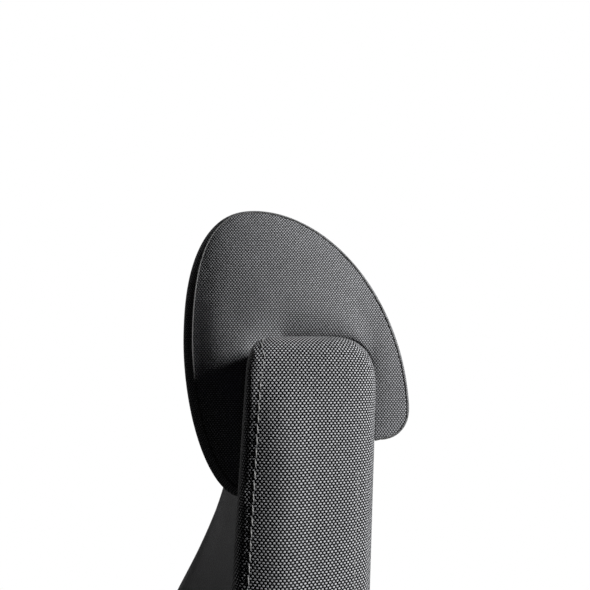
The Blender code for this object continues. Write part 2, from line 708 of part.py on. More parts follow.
# Seat
def build_seat_carrier():
    low = (-CARRIER_HALF_WIDTH, CARRIER_FRONT, CARRIER_BOTTOM)
    high = (CARRIER_HALF_WIDTH, CARRIER_REAR, CARRIER_TOP)
    carrier = place("seat_carrier", block("seat carrier", low, high), BLACK_STEEL)
    eye = PIVOT_PIN_RADIUS + RUNNING_GAP
    for side in (-1, 1):
        ends = sorted((side * LUG_OUTER, side * (LUG_OUTER - LUG_THICKNESS)))
        lug_low = (ends[0], FRONT_PIVOT_Y - 0.014, FRONT_PIVOT_Z - 0.014)
        lug_high = (ends[1], FRONT_PIVOT_Y + 0.014, CARRIER_BOTTOM + CARRIER_THICKNESS / 2)
        join(carrier, helper(f"lug {side}", block(f"lug {side}", lug_low, lug_high)))
    pin_from = (-HOUSING_WIDTH, FRONT_PIVOT_Y, FRONT_PIVOT_Z)
    pin_to = (HOUSING_WIDTH, FRONT_PIVOT_Y, FRONT_PIVOT_Z)
    pin_room = rod("pin room", pin_from, pin_to, eye)
    cut(carrier, helper("carrier pin room", pin_room))
    move_origin(carrier, (0, FRONT_PIVOT_Y, FRONT_PIVOT_Z))
    edge = CARRIER_HALF_WIDTH
    for side, name in ((-1, "right"), (1, "left")):
        outline = [
            (edge - RAIL_GRIP, CARRIER_TOP + RUNNING_GAP),
            (edge + RUNNING_GAP, CARRIER_TOP + RUNNING_GAP),
            (edge + RUNNING_GAP, CARRIER_BOTTOM - RUNNING_GAP),
            (edge - RAIL_GRIP, CARRIER_BOTTOM - RUNNING_GAP),
            (edge - RAIL_GRIP, CARRIER_BOTTOM - RUNNING_GAP - RAIL_WALL * 0.6),
            (edge + RUNNING_GAP + RAIL_WALL, CARRIER_BOTTOM - RUNNING_GAP - RAIL_WALL * 0.6),
            (edge + RUNNING_GAP + RAIL_WALL, CARRIER_TOP + RUNNING_GAP + RAIL_WALL),
            (edge - RAIL_GRIP, CARRIER_TOP + RUNNING_GAP + RAIL_WALL),
        ]
        outline = [(side * x, z) for x, z in outline]
        middle = (CARRIER_FRONT + CARRIER_REAR) / 2
        lengthways = Matrix.Translation((0, middle, 0)) @ Matrix.Rotation(math.pi / 2, 4, "X")
        rail = plate(f"rail {name}", [outline], RAIL_LENGTH, lengthways)
        place(f"seat_rail_{name}", rail, BLACK_PLASTIC)


def rounded_outline(half_x, front, rear, corner, per_corner):
    """A rounded rectangle in plan, counter-clockwise from the front right corner."""
    centres = (
        (half_x - corner, front + corner, -90),
        (half_x - corner, rear - corner, 0),
        (-half_x + corner, rear - corner, 90),
        (-half_x + corner, front + corner, 180),
    )
    points = []
    for x, y, start in centres:
        points += arc((x, y), corner, start, start + 90, per_corner)
    return points


def build_seat():
    half_x = SEAT_HALF_WIDTH - PAN_INSET
    low_pan = rounded_outline(half_x, SEAT_FRONT + PAN_INSET, SEAT_REAR - PAN_INSET, PAN_CORNER, 6)
    level = Matrix.Translation((0, 0, (PAN_BOTTOM + PAN_TOP) / 2))
    place("seat_pan", plate("seat pan", [low_pan], PAN_THICKNESS, level), PLYWOOD)
    middle_y = (SEAT_FRONT + SEAT_REAR) / 2
    half_y = (SEAT_REAR - SEAT_FRONT) / 2
    edge = SEAT_EDGE_ROUND
    rim = SEAT_HEIGHT - SEAT_CROWN

    def dome(share_x, share_y):
        """Height of the top skin above the seat's rim, from shares of the half sizes."""
        crown = SEAT_CROWN * (1 - share_x**2) * (1 - share_y**2) ** 0.5
        fall = SEAT_WATERFALL * ramp(-0.45, -1.05, share_y)
        return crown - fall

    levels = (
        (edge * 0.9, 0.0),
        (edge * 0.25, edge * 0.35),
        (0.0, edge),
        (0.0, rim * 0.55),
        (edge * 0.12, rim - edge * 0.9),
        (edge * 0.45, rim - edge * 0.3),
        (edge * 1.3, rim),
        (edge * 4.0, rim),
        (edge * 7.5, rim),
        (edge * 11.0, rim),
        (edge * 13.6, rim),
    )
    rings = []
    for inset, height in levels:
        corner = max(SEAT_CORNER - inset * 0.5, 0.010)
        outline = rounded_outline(
            SEAT_HALF_WIDTH - inset, SEAT_FRONT + inset, SEAT_REAR - inset, corner, 7
        )
        points = []
        for x, y in outline:
            share_x = x / SEAT_HALF_WIDTH
            share_y = (y - middle_y) / half_y
            lift = dome(share_x, share_y) * ramp(0.3 * rim, rim, height)
            points.append((x, y, SEAT_BOTTOM + height + lift))
        rings.append(points)
    place("seat_cushion", loft("seat cushion", rings), FABRIC, smooth=True)


def build_slide_lever():
    z = PAN_BOTTOM - TOUCH_GAP - SLIDE_LEVER_BARREL
    half = SLIDE_LEVER_WIDTH / 2
    barrel_start = (SLIDE_LEVER_X, SLIDE_LEVER_Y - half, z)
    barrel_end = (SLIDE_LEVER_X, SLIDE_LEVER_Y + half, z)
    barrel = rod("seat slide lever", barrel_start, barrel_end, SLIDE_LEVER_BARREL, 14)
    lever = place("seat_slide_lever", barrel, BLACK_PLASTIC)
    paddle_top = z - SLIDE_LEVER_BARREL * 0.4
    low = (SLIDE_LEVER_X, SLIDE_LEVER_Y - half + 0.002, paddle_top - SLIDE_LEVER_THICKNESS)
    high = (SLIDE_LEVER_X + SLIDE_LEVER_LENGTH, SLIDE_LEVER_Y + half - 0.002, paddle_top)
    join(lever, helper("slide paddle", block("slide paddle", low, high, 0.002, 1)))
    move_origin(lever, (SLIDE_LEVER_X, SLIDE_LEVER_Y, z))


# Back
def hollow(x):
    """How far the back's middle lies behind its side edges at this width."""
    return BACK_HOLLOW * (1 - (x / BACK_HALF_WIDTH) ** 2)


def wing(x, drop):
    """How far the side wings come forward, from the width and the drop below the back's top."""
    rise = ramp(WING_START, WING_FULL, drop)
    fade = 1 - (1 - WING_END_SHARE) * ramp(WING_FULL, WING_END, drop)
    side = max(0.0, (abs(x) - WING_INNER) / (BACK_HALF_WIDTH - WING_INNER))
    return WING_REACH * rise * fade * side**1.7


def lumbar(x, drop):
    away = (drop - LUMBAR_DROP) / LUMBAR_SPAN
    return LUMBAR_REACH * math.exp(-(away**2)) * (1 - (x / BACK_HALF_WIDTH) ** 2)


def back_middle(x, z):
    return BACK_TOP_Y - LEAN * (BACK_TOP - z) + hollow(x)


def back_front(x, z):
    drop = BACK_TOP - z
    return back_middle(x, z) - BACK_THICKNESS / 2 - wing(x, drop) - lumbar(x, drop)


def back_rear(x, z):
    return back_middle(x, z) + BACK_THICKNESS / 2 - WING_REAR_SHARE * wing(x, BACK_TOP - z)


def narrowed(x, z):
    """The back tapers towards the seat."""
    return x * (1 - BACK_TAPER * ramp(BACK_TAPER_START, BACK_TAPER_END, BACK_TOP - z))


def corner_drop(x):
    """How far the back's top edge has come down at this width, round its upper corner."""
    over = max(0.0, abs(x) - (BACK_HALF_WIDTH - BACK_CORNER))
    return BACK_CORNER - math.sqrt(max(0.0, BACK_CORNER**2 - over**2))


def rear_row(high, low, i):
    """Height of a row of points on the back's rear skin, counted from the top."""
    return high + (low - high) * i / (BACK_ROWS - 1)


def back_ring(x, roll, crown):
    """One upright section of the back. Roll draws its edges in and crown pushes it out sideways."""
    top = BACK_TOP - corner_drop(x) - roll * BACK_FRONT_ROLL
    bottom = BACK_BOTTOM + corner_drop(x) + roll * BACK_FRONT_ROLL
    front_in = roll * BACK_FRONT_ROLL
    rear_in = roll * BACK_REAR_ROLL
    points = []
    rows = BACK_ROWS
    low = bottom + BACK_TOP_FRONT_ROUND
    high = top - BACK_TOP_FRONT_ROUND * 0.8
    for i in range(rows):
        z = low + (high - low) * i / (rows - 1)
        points.append((back_front(x, z) + front_in, z))
    front_y = back_front(x, high) + front_in
    rear_high = top - BACK_TOP_REAR_ROUND
    rear_y = back_rear(x, rear_high) - rear_in
    for i in range(1, 4):
        turn = math.radians(30 * i)
        y = front_y + BACK_TOP_FRONT_ROUND * (1 - math.cos(turn))
        points.append((y, high + (top - high) * math.sin(turn)))
    for i in range(4):
        turn = math.radians(90 - 30 * i)
        y = rear_y - BACK_TOP_REAR_ROUND * (1 - math.cos(turn))
        points.append((y, rear_high + (top - rear_high) * math.sin(turn)))
    rear_low = bottom + BACK_TOP_REAR_ROUND
    for i in range(1, rows):
        z = rear_row(rear_high, rear_low, i)
        points.append((back_rear(x, z) - rear_in, z))
    last_y = points[-1][0]
    first_y = points[0][0]
    for i in range(1, 4):
        turn = math.radians(30 * i)
        y = last_y - BACK_TOP_REAR_ROUND * (1 - math.cos(turn))
        points.append((y, rear_low - (rear_low - bottom) * math.sin(turn)))
    for i in range(3):
        turn = math.radians(90 - 30 * i)
        y = first_y + BACK_TOP_FRONT_ROUND * (1 - math.cos(turn))
        points.append((y, low - (low - bottom) * math.sin(turn)))
    return [(narrowed(x + math.copysign(crown, x), z), y, z) for y, z in points]


def mirrored_stations(stations):
    """Stations for both sides from (width, roll, crown) on one side, outermost first."""
    left = [(-x, roll, crown) for x, roll, crown in stations]
    right = [station for station in reversed(stations) if station[0] > 0]
    return left + right


def build_back():
    edge = BACK_HALF_WIDTH
    inner = edge - BACK_CORNER
    stations = [(edge, 2.4, BACK_PANEL_CROWN), (edge, 1.0, 0.0), (edge - 0.0018, 0.45, 0.0)]
    stations += [(edge - 0.0055, 0.0, 0.0)]
    stations += [(inner + BACK_CORNER * math.sin(math.radians(a)), 0.0, 0.0) for a in (44, 20)]
    stations += [(inner * share, 0.0, 0.0) for share in BACK_STATION_SHARES]
    rings = [back_ring(x, roll, crown) for x, roll, crown in mirrored_stations(stations)]
    bottom_middle = len(rings[0]) - 3
    cushion = place("back_cushion", loft("back cushion", rings, bottom_middle), FABRIC, smooth=True)
    for side, name in ((-1, "right"), (1, "left")):
        top = guide_top(side)
        start = top + LEAN_AXIS * 0.05
        end = top - LEAN_AXIS * (POST_IN_BACK + 0.012)
        bore = rod(f"post bore {name}", start, end, GUIDE_RADIUS + TOUCH_GAP, 14)
        cut(cushion, helper(f"post bore {name}", bore))


def guide_top(side):
    """Where a headrest post enters the back's top edge."""
    x = side * POST_SPACING / 2
    return Vector((x, back_middle(x, BACK_TOP), BACK_TOP))


def shell_ring(x):
    """A section of the shell that lies on the back's rear skin, row for row."""
    high = BACK_TOP - BACK_TOP_REAR_ROUND
    low = BACK_BOTTOM + BACK_TOP_REAR_ROUND
    rows = [rear_row(high, low, i) for i in range(SHELL_FIRST_ROW, SHELL_LAST_ROW + 1)]
    inner = [(narrowed(x, z), back_rear(x, z) + SHELL_GAP, z) for z in rows]
    outer = [(across, y + SHELL_THICKNESS, z) for across, y, z in reversed(inner)]
    return inner + outer


def build_shell():
    edge = (BACK_HALF_WIDTH - BACK_CORNER) * BACK_STATION_SHARES[1]
    shares = [share / BACK_STATION_SHARES[1] for share in BACK_STATION_SHARES[1:]]
    widths = [-edge * share for share in shares] + [edge * share for share in reversed(shares[:-1])]
    rings = [shell_ring(x) for x in widths]
    shell = place("back_shell", loft("back shell", rings), BLACK_PLASTIC, smooth=True)
    high = max(point[2] for point in rings[0]) - SHELL_MARGIN
    low = min(point[2] for point in rings[0]) + SHELL_MARGIN
    half = edge - SHELL_MARGIN
    outline = rounded_outline(half, low, high, SHELL_CORNER, 7)
    facing = Matrix.Translation((0, BACK_TOP_Y, 0)) @ Matrix.Rotation(math.pi / 2, 4, "X")
    keep = helper("shell outline", plate("shell outline", [outline], 2 * BACK_HALF_WIDTH, facing))
    boolean(shell, keep, "INTERSECT")


def bar_middle(z):
    """Where the upright of the back bar runs."""
    offset = BAR_OFFSET + CARRIAGE_DEPTH / 2
    return BACK_TOP_Y - LEAN * (BACK_TOP - z) + offset


def build_bar():
    half = BAR_THICKNESS / 2
    eye = BAR_THICKNESS * 0.62
    outer_bend = BAR_BEND + half
    inner_bend = BAR_BEND - half
    lean = BACK_LEAN_DEG
    bend_z = REAR_PIVOT_Z + BAR_BEND
    bend_y = bar_middle(bend_z - BAR_BEND * LEAN_AXIS.y) - BAR_BEND * LEAN_AXIS.z
    level_half = half / LEAN_AXIS.z
    outline = arc((REAR_PIVOT_Y, REAR_PIVOT_Z), eye, 70, 290, 10)
    outline += arc((bend_y, bend_z), outer_bend, -90, -lean, 9)
    outline.append((bar_middle(BAR_TOP) + level_half, BAR_TOP))
    outline.append((bar_middle(BAR_TOP) - level_half, BAR_TOP))
    outline += arc((bend_y, bend_z), inner_bend, -lean, -90, 9)
    hole = ring((REAR_PIVOT_Y, REAR_PIVOT_Z), PIVOT_PIN_RADIUS + RUNNING_GAP, 14)
    bar = place("back_bar", plate("back bar", [outline, hole], BAR_WIDTH, ACROSS), BLACK_STEEL)
    move_origin(bar, (0, REAR_PIVOT_Y, REAR_PIVOT_Z))


def build_carriage():
    """The block on the back shell that slides on the bar, in a frame that leans with the back."""
    foot = Vector((0, bar_middle(CARRIAGE_BOTTOM), CARRIAGE_BOTTOM))
    height = (CARRIAGE_TOP - CARRIAGE_BOTTOM) / LEAN_AXIS.z
    half_x = CARRIAGE_WIDTH / 2
    half_y = CARRIAGE_DEPTH / 2 - TOUCH_GAP
    body = block("back carriage", (-half_x, -half_y, 0), (half_x, half_y, height), 0.006, 2, "z")
    carriage = place("back_carriage", body, BLACK_PLASTIC)
    leaning = Matrix.Translation(foot) @ Matrix.Rotation(-LEAN_ANGLE, 4, "X")
    carriage.matrix_world = leaning
    slot_x = BAR_WIDTH / 2 + RUNNING_GAP
    slot_y = BAR_THICKNESS / 2 + RUNNING_GAP
    slot = helper("bar slot", block("bar slot", (-slot_x, -slot_y, -0.1), (slot_x, slot_y, height + 0.1)))
    slot.matrix_world = leaning
    cut(carriage, slot)
    knob_at = Vector((0, bar_middle(CLAMP_KNOB_Z), CLAMP_KNOB_Z))
    backward = Matrix.Rotation(-LEAN_ANGLE, 4, "X") @ Matrix.Rotation(-math.pi / 2, 4, "X")
    shank_start = BAR_THICKNESS / 2 + RUNNING_GAP + TOUCH_GAP
    face = CARRIAGE_DEPTH / 2 + TOUCH_GAP
    profile = [
        (0.0, face + CLAMP_KNOB_LENGTH),
        (CLAMP_KNOB_RADIUS * 0.7, face + CLAMP_KNOB_LENGTH),
        (CLAMP_KNOB_RADIUS, face + CLAMP_KNOB_LENGTH * 0.75),
        (CLAMP_KNOB_RADIUS, face + CLAMP_KNOB_LENGTH * 0.25),
        (CLAMP_KNOB_RADIUS * 0.6, face),
        (CLAMP_SHANK_RADIUS, face),
        (CLAMP_SHANK_RADIUS, shank_start),
        (0.0, shank_start),
    ]
    knob = place("height_clamp_knob", turned("clamp knob", profile, 20), BLACK_PLASTIC)
    knob.matrix_world = Matrix.Translation(knob_at) @ backward
    shank_end = (0, 0, CARRIAGE_DEPTH)
    shank_hole = rod("shank hole", (0, 0, 0), shank_end, CLAMP_SHANK_RADIUS + RUNNING_GAP, 12)
    shank = helper("shank hole", shank_hole)
    shank.matrix_world = knob.matrix_world
    cut(carriage, shank)


# Headrest
def power_arc(centre, reach_y, reach_z, fullness, start_deg, end_deg, count):
    """A quarter of a rounded lobe. Fullness 2 is an ellipse and more is squarer."""
    points = []
    for i in range(count):
        angle = math.radians(start_deg + (end_deg - start_deg) * i / (count - 1))
        c = math.cos(angle)
        s = math.sin(angle)
        y = centre[0] + reach_y * math.copysign(abs(c) ** (2 / fullness), c)
        z = centre[1] + reach_z * math.copysign(abs(s) ** (2 / fullness), s)
        points.append((y, z))
    return points


def headrest_outline():
    """The saddle's end outline about the middle of the back's top edge, from the front toe round."""
    belly = HEADREST_FRONT_BELLY
    apex = HEADREST_APEX_Y
    toe = HEADREST_FRONT_TOE
    reach = HEADREST_FRONT_REACH
    drop = HEADREST_FRONT_DROP
    dome = HEADREST_DOME
    chin = power_arc((toe, belly), reach + toe, drop + belly, HEADREST_CHIN_FULLNESS, 270, 180, 9)
    brow = power_arc((apex, belly), reach + apex, dome - belly, HEADREST_BROW_FULLNESS, 180, 90, 9)
    rear_belly = HEADREST_REAR_BELLY
    rear_reach = HEADREST_REAR_REACH - apex
    rise = dome - rear_belly
    nape = power_arc((apex, rear_belly), rear_reach, rise, HEADREST_NAPE_FULLNESS, 90, 0, 12)
    heel_y = HEADREST_REAR_REACH - HEADREST_HEEL_ROUND
    heel_drop = HEADREST_REAR_DROP + rear_belly
    heel = power_arc((heel_y, rear_belly), HEADREST_HEEL_ROUND, heel_drop, 2.0, 0, -90, 5)
    ceiling = HEADREST_TOP_CLEARANCE
    rear_wall = HEADREST_REAR_WALL
    back_front_y = hollow(HEADREST_HALF_WIDTH) - BACK_THICKNESS / 2 - HEADREST_FRONT_CLEARANCE
    slot = [(rear_wall, -HEADREST_REAR_DROP + 0.001)]
    slot += [(rear_wall, -HEADREST_REAR_DROP * share) for share in (0.66, 0.33, 0.05)]
    slot += [(rear_wall - 0.012, ceiling), (0.02, ceiling), (back_front_y + 0.010, ceiling)]
    toe_top = -HEADREST_FRONT_DROP + HEADREST_TOE_ROUND
    for share in (0.10, 0.40, 0.72, 1.0):
        z = toe_top * share
        slot.append((back_front_y + LEAN * z, z))
    low_y = slot[-1][0]
    slot.append((low_y - HEADREST_TOE_ROUND * 0.4, -HEADREST_FRONT_DROP + HEADREST_TOE_ROUND * 0.2))
    return chin + brow[1:] + nape[1:] + heel[1:] + slot


def drawn_in(outline, amount):
    """The outline moved inwards by an amount along its own normals."""
    count = len(outline)
    moved = []
    for i in range(count):
        before = Vector(outline[i - 1])
        here = Vector(outline[i])
        after = Vector(outline[(i + 1) % count])
        first = (here - before).normalized()
        second = (after - here).normalized()
        along = (first + second).normalized()
        inward = Vector((along.y, -along.x))
        moved.append(tuple(here + inward * amount))
    return moved


def headrest_ring(x, roll, crown):
    outline = headrest_outline()
    if roll:
        outline = drawn_in(outline, HEADREST_EDGE_ROLL * roll)
    shift = hollow(x) - hollow(HEADREST_HALF_WIDTH)
    wide = x + math.copysign(crown, x)
    return [(wide, BACK_TOP_Y + y + shift, BACK_TOP + z) for y, z in outline]


def build_headrest():
    edge = HEADREST_HALF_WIDTH
    roll = HEADREST_EDGE_ROLL
    stations = [(edge, 1.0, 0.0), (edge - roll * 0.3, 0.42, 0.0)]
    stations += [(edge - roll, 0.0, 0.0)]
    stations += [(edge * share, 0.0, 0.0) for share in (0.74, 0.40, 0.0)]
    rings = [headrest_ring(x, r, crown) for x, r, crown in mirrored_stations(stations)]
    cushion = place("headrest_cushion", loft("headrest cushion", rings), FABRIC, smooth=True)
    for side, name in ((-1, "right"), (1, "left")):
        top = guide_top(side)
        high = top + LEAN_AXIS * (HEADREST_TOP_CLEARANCE + POST_IN_HEADREST)
        low = top - LEAN_AXIS * POST_IN_BACK
        post = rod(f"headrest post {name}", low, high, POST_RADIUS, 14)
        place(f"headrest_post_{name}", post, CHROME)
        room = rod(f"post room {name}", top, high + LEAN_AXIS * TOUCH_GAP, POST_RADIUS + TOUCH_GAP, 14)
        cut(cushion, helper(f"post room {name}", room))
        flange_bottom = TOUCH_GAP + GUIDE_FLANGE_RADIUS * LEAN
        profile = [
            (POST_RADIUS + RUNNING_GAP, flange_bottom + GUIDE_FLANGE),
            (GUIDE_FLANGE_RADIUS, flange_bottom + GUIDE_FLANGE),
            (GUIDE_FLANGE_RADIUS, flange_bottom),
            (GUIDE_RADIUS, flange_bottom),
            (GUIDE_RADIUS, -GUIDE_LENGTH),
            (POST_RADIUS + RUNNING_GAP, -GUIDE_LENGTH),
        ]
        bush = turned(f"guide bush {name}", profile, 16, closed=True)
        guide = place(f"guide_bush_{name}", bush, BLACK_PLASTIC)
        guide.matrix_world = Matrix.Translation(top) @ Matrix.Rotation(-LEAN_ANGLE, 4, "X")


# Arms
def bracket_outline(side):
    """The bent bar of an arm in the XZ plane."""
    top = PAN_BOTTOM - TOUCH_GAP
    bottom = top - ARM_BRACKET_THICKNESS
    outer = ARM_BRACKET_OUTER
    inner = outer - ARM_BRACKET_THICKNESS
    bend = ARM_BRACKET_BEND
    outline = [(ARM_BRACKET_INNER, top), (ARM_BRACKET_INNER, bottom)]
    outline += arc((outer - bend, bottom + bend), bend, -90, 0, 5)
    outline += [(outer, ARM_BRACKET_TOP), (inner, ARM_BRACKET_TOP)]
    small = bend - ARM_BRACKET_THICKNESS
    outline += arc((outer - bend, bottom + bend), small, 0, -90, 5)
    return [(side * x, z) for x, z in outline]


def build_arm(side, name):
    upright = Matrix.Translation((0, ARM_Y, 0)) @ Matrix.Rotation(math.pi / 2, 4, "X")
    bracket = plate(f"arm bracket {name}", [bracket_outline(side)], ARM_BRACKET_WIDTH, upright)
    place(f"arm_bracket_{name}", bracket, BLACK_STEEL)

    centre = side * SLEEVE_MIDDLE_X
    half_x = SLEEVE_WIDTH / 2
    half_y = SLEEVE_DEPTH / 2
    low = (centre - half_x, ARM_Y - half_y, SLEEVE_BOTTOM)
    high = (centre + half_x, ARM_Y + half_y, SLEEVE_TOP)
    tube = block(f"arm sleeve {name}", low, high, SLEEVE_ROUND, 2, "z")
    sleeve = place(f"arm_sleeve_{name}", tube, BLACK_PLASTIC)
    slot_x = half_x - SLEEVE_WALL
    slot_y = half_y - SLEEVE_WALL * 1.5
    floor = SLEEVE_TOP - ARM_STEM_OVERLAP - 0.006
    slot_low = (centre - slot_x, ARM_Y - slot_y, floor)
    slot_high = (centre + slot_x, ARM_Y + slot_y, SLEEVE_TOP + 0.05)
    cut(sleeve, helper(f"stem slot {name}", block(f"stem slot {name}", slot_low, slot_high)))

    stem_x = slot_x - RUNNING_GAP
    stem_y = slot_y - RUNNING_GAP
    stem_low = (centre - stem_x, ARM_Y - stem_y, SLEEVE_TOP - ARM_STEM_OVERLAP)
    stem_high = (centre + stem_x, ARM_Y + stem_y, PAD_PLATE_BOTTOM - TOUCH_GAP)
    place(f"arm_stem_{name}", block(f"arm stem {name}", stem_low, stem_high, 0.003, 1, "z"), CHROME)

    button_z = SLEEVE_TOP - BUTTON_DROP
    outer = centre + side * half_x
    button_start = (outer - side * (SLEEVE_WALL - BUTTON_PRESS - RUNNING_GAP), ARM_Y, button_z)
    button_end = (outer + side * BUTTON_STANDS, ARM_Y, button_z)
    press = rod(f"arm button {name}", button_start, button_end, BUTTON_RADIUS)
    button = place(f"arm_button_{name}", press, CHROME)
    move_origin(button, (outer, ARM_Y, button_z))
    hole_start = (outer - side * (SLEEVE_WALL + 0.004), ARM_Y, button_z)
    hole_end = (outer + side * 0.01, ARM_Y, button_z)
    hole = rod(f"button hole {name}", hole_start, hole_end, BUTTON_RADIUS + RUNNING_GAP)
    cut(sleeve, helper(f"button hole {name}", hole))

    half_plate = PAD_PLATE_LENGTH / 2
    plate_outline = rounded_outline(PAD_PLATE_WIDTH / 2, -half_plate, half_plate, PAD_PLATE_CORNER, 5)
    pivot = Vector((centre, ARM_Y, 0))
    forward = Vector((0, -PAD_FORWARD, 0))
    plate_level = Vector((0, 0, PAD_PLATE_BOTTOM + PAD_PLATE_THICKNESS / 2))
    plate_at = Matrix.Translation(pivot + forward + plate_level)
    pad_plate = plate(f"pad plate {name}", [plate_outline], PAD_PLATE_THICKNESS, plate_at)
    place(f"arm_pad_plate_{name}", pad_plate, BLACK_PLASTIC)

    rings = []
    for inset, height in (
        (0.006, 0.0),
        (0.0, PAD_ROUND * 0.4),
        (0.0, PAD_HEIGHT - PAD_ROUND),
        (PAD_ROUND * 0.35, PAD_HEIGHT - PAD_ROUND * 0.35),
        (PAD_ROUND, PAD_HEIGHT - 0.002),
        (PAD_WIDTH * 0.30, PAD_HEIGHT),
    ):
        half_pad = PAD_LENGTH / 2 - inset
        corner = PAD_WIDTH * 0.46 - inset
        outline = rounded_outline(PAD_WIDTH / 2 - inset, -half_pad, half_pad, corner, 6)
        rings.append([(x, y - PAD_FORWARD, PAD_BOTTOM + height) for x, y in outline])
    pad = place(f"arm_pad_{name}", loft(f"arm pad {name}", rings), PAD_FOAM, smooth=True)
    pad.location = pivot


build_base()
build_castors()
build_column()
build_housing()
build_controls()
build_seat_carrier()
build_seat()
build_slide_lever()
build_back()
build_shell()
build_bar()
build_carriage()
build_headrest()
build_arm(1, "left")
build_arm(-1, "right")
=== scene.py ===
"""Upholstery, sewing, finishes, studio and camera of the heavy-duty office chair."""

from __future__ import annotations

import logging
import math
from dataclasses import dataclass, field
from enum import Enum
from typing import Sequence

import bmesh
import bpy
from mathutils import Matrix, Vector
from mathutils.bvhtree import BVHTree


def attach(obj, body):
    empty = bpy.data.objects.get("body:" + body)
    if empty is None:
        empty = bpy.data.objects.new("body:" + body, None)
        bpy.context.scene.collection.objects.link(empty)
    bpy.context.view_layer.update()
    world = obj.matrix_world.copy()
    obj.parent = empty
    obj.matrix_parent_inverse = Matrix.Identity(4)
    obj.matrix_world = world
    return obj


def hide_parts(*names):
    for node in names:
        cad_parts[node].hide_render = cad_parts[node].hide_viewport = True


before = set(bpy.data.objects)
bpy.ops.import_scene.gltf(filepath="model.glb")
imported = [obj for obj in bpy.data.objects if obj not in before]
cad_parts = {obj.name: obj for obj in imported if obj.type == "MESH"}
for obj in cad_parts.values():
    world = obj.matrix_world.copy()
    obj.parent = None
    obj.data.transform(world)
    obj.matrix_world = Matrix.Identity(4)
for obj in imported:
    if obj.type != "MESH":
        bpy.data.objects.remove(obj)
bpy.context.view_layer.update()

LOG = logging.getLogger("office_chair")
IMAGE_SIDE = 590
FACE_STEPS = 60
RAY_START = 0.2
SCREW_START = 0.02

Triple = tuple[float, float, float]
Colour = Triple
Flat = tuple[float, float]


class Side(Enum):
    """The sitter's left and right."""

    LEFT = 1
    RIGHT = -1

    @property
    def word(self) -> str:
        """The side's name as the nodes spell it."""
        return self.name.lower()


# Finishes


class Board:
    """A material's node tree, with short ways to add and join nodes."""

    def __init__(self, name: str) -> None:
        """Starts a material.

        Args:
            name: The material's name.
        """
        self.material = bpy.data.materials.new(name)
        self.material.use_nodes = True
        self.tree = self.material.node_tree
        self.shader = self.tree.nodes["Principled BSDF"]

    def set(self, **values: object) -> None:
        """Sets constants on the shader's own sockets.

        Args:
            values: Socket names with underscores for spaces, and their values.
        """
        for name, value in values.items():
            self.shader.inputs[name.replace("_", " ")].default_value = value

    def node(self, kind: str, **settings: object) -> bpy.types.Node:
        """Adds a node.

        Args:
            kind: The node's type name.
            settings: Attributes to set on it.

        Returns:
            The new node.
        """
        made = self.tree.nodes.new(kind)
        for name, value in settings.items():
            setattr(made, name, value)
        return made

    def join(self, source: bpy.types.NodeSocket, target: bpy.types.NodeSocket) -> None:
        """Links an output to an input."""
        self.tree.links.new(source, target)

    def feed(self, target: bpy.types.NodeSocket, value: object) -> None:
        """Gives an input a link or a constant, whichever the value is.

        Args:
            target: The input.
            value: A socket or a constant.
        """
        if isinstance(value, bpy.types.NodeSocket):
            self.join(value, target)
        else:
            target.default_value = value

    def math(self, operation: str, *values: object) -> bpy.types.NodeSocket:
        """Adds a Math node.

        Args:
            operation: The operation's name.
            values: Sockets or numbers, as many as the operation takes.

        Returns:
            Its output.
        """
        made = self.node("ShaderNodeMath", operation=operation)
        for socket, value in zip(made.inputs, values):
            self.feed(socket, value)
        return made.outputs[0]

    def place(self, kind: str = "Object") -> bpy.types.NodeSocket:
        """The surface's coordinates.

        Args:
            kind: Object or UV.

        Returns:
            The coordinate output.
        """
        return self.node("ShaderNodeTexCoord").outputs[kind]

    def noise(
        self, at: object, scale: float, detail: float = 2.0, rough: float = 0.5
    ) -> bpy.types.NodeSocket:
        """Adds soft noise.

        Args:
            at: Where it is read.
            scale: Its scale.
            detail: How many finer layers it has.
            rough: How strong those are.

        Returns:
            A value about 0.5.
        """
        made = self.node("ShaderNodeTexNoise")
        self.feed(made.inputs["Vector"], at)
        made.inputs["Scale"].default_value = scale
        made.inputs["Detail"].default_value = detail
        made.inputs["Roughness"].default_value = rough
        return made.outputs["Fac"]

    def remap(
        self, value: object, low: float, high: float, to_low: float, to_high: float
    ) -> bpy.types.NodeSocket:
        """Stretches a value from one range to another, smoothly and clamped.

        Args:
            value: What is stretched.
            low: Start of its range.
            high: End of its range.
            to_low: Start of the new range.
            to_high: End of the new range.

        Returns:
            The new value.
        """
        made = self.node("ShaderNodeMapRange", interpolation_type="SMOOTHSTEP")
        self.feed(made.inputs["Value"], value)
        for name, number in zip(("From Min", "From Max", "To Min", "To Max"), (low, high, to_low, to_high)):
            made.inputs[name].default_value = number
        return made.outputs["Result"]

    def blend(self, share: object, first: object, second: object) -> bpy.types.NodeSocket:
        """Mixes two colours.

        Args:
            share: How much of the second there is.
            first: A colour or a socket.
            second: A colour or a socket.

        Returns:
            The mixed colour.
        """
        made = self.node("ShaderNodeMix", data_type="RGBA")
        self.feed(made.inputs[0], share)
        for socket, value in ((made.inputs[6], first), (made.inputs[7], second)):
            self.feed(socket, (*value, 1.0) if isinstance(value, tuple) else value)
        return made.outputs[2]

    def relief(self, height: object, depth: float, strength: float = 1.0) -> None:
        """Gives the shader a bump.

        Args:
            height: The relief, from 0 to 1.
            depth: How deep it is, in metres.
            strength: How strongly it shows.
        """
        made = self.node("ShaderNodeBump")
        made.inputs["Strength"].default_value = strength
        made.inputs["Distance"].default_value = depth
        self.feed(made.inputs["Height"], height)
        self.join(made.outputs["Normal"], self.shader.inputs["Normal"])


class Finish:
    """A finish whose material is made once."""

    name: str

    def material(self) -> bpy.types.Material:
        """The finish's material, made the first time it is asked for."""
        return bpy.data.materials.get(self.name) or self.make()

    def make(self) -> bpy.types.Material:
        """Makes the material."""
        raise NotImplementedError


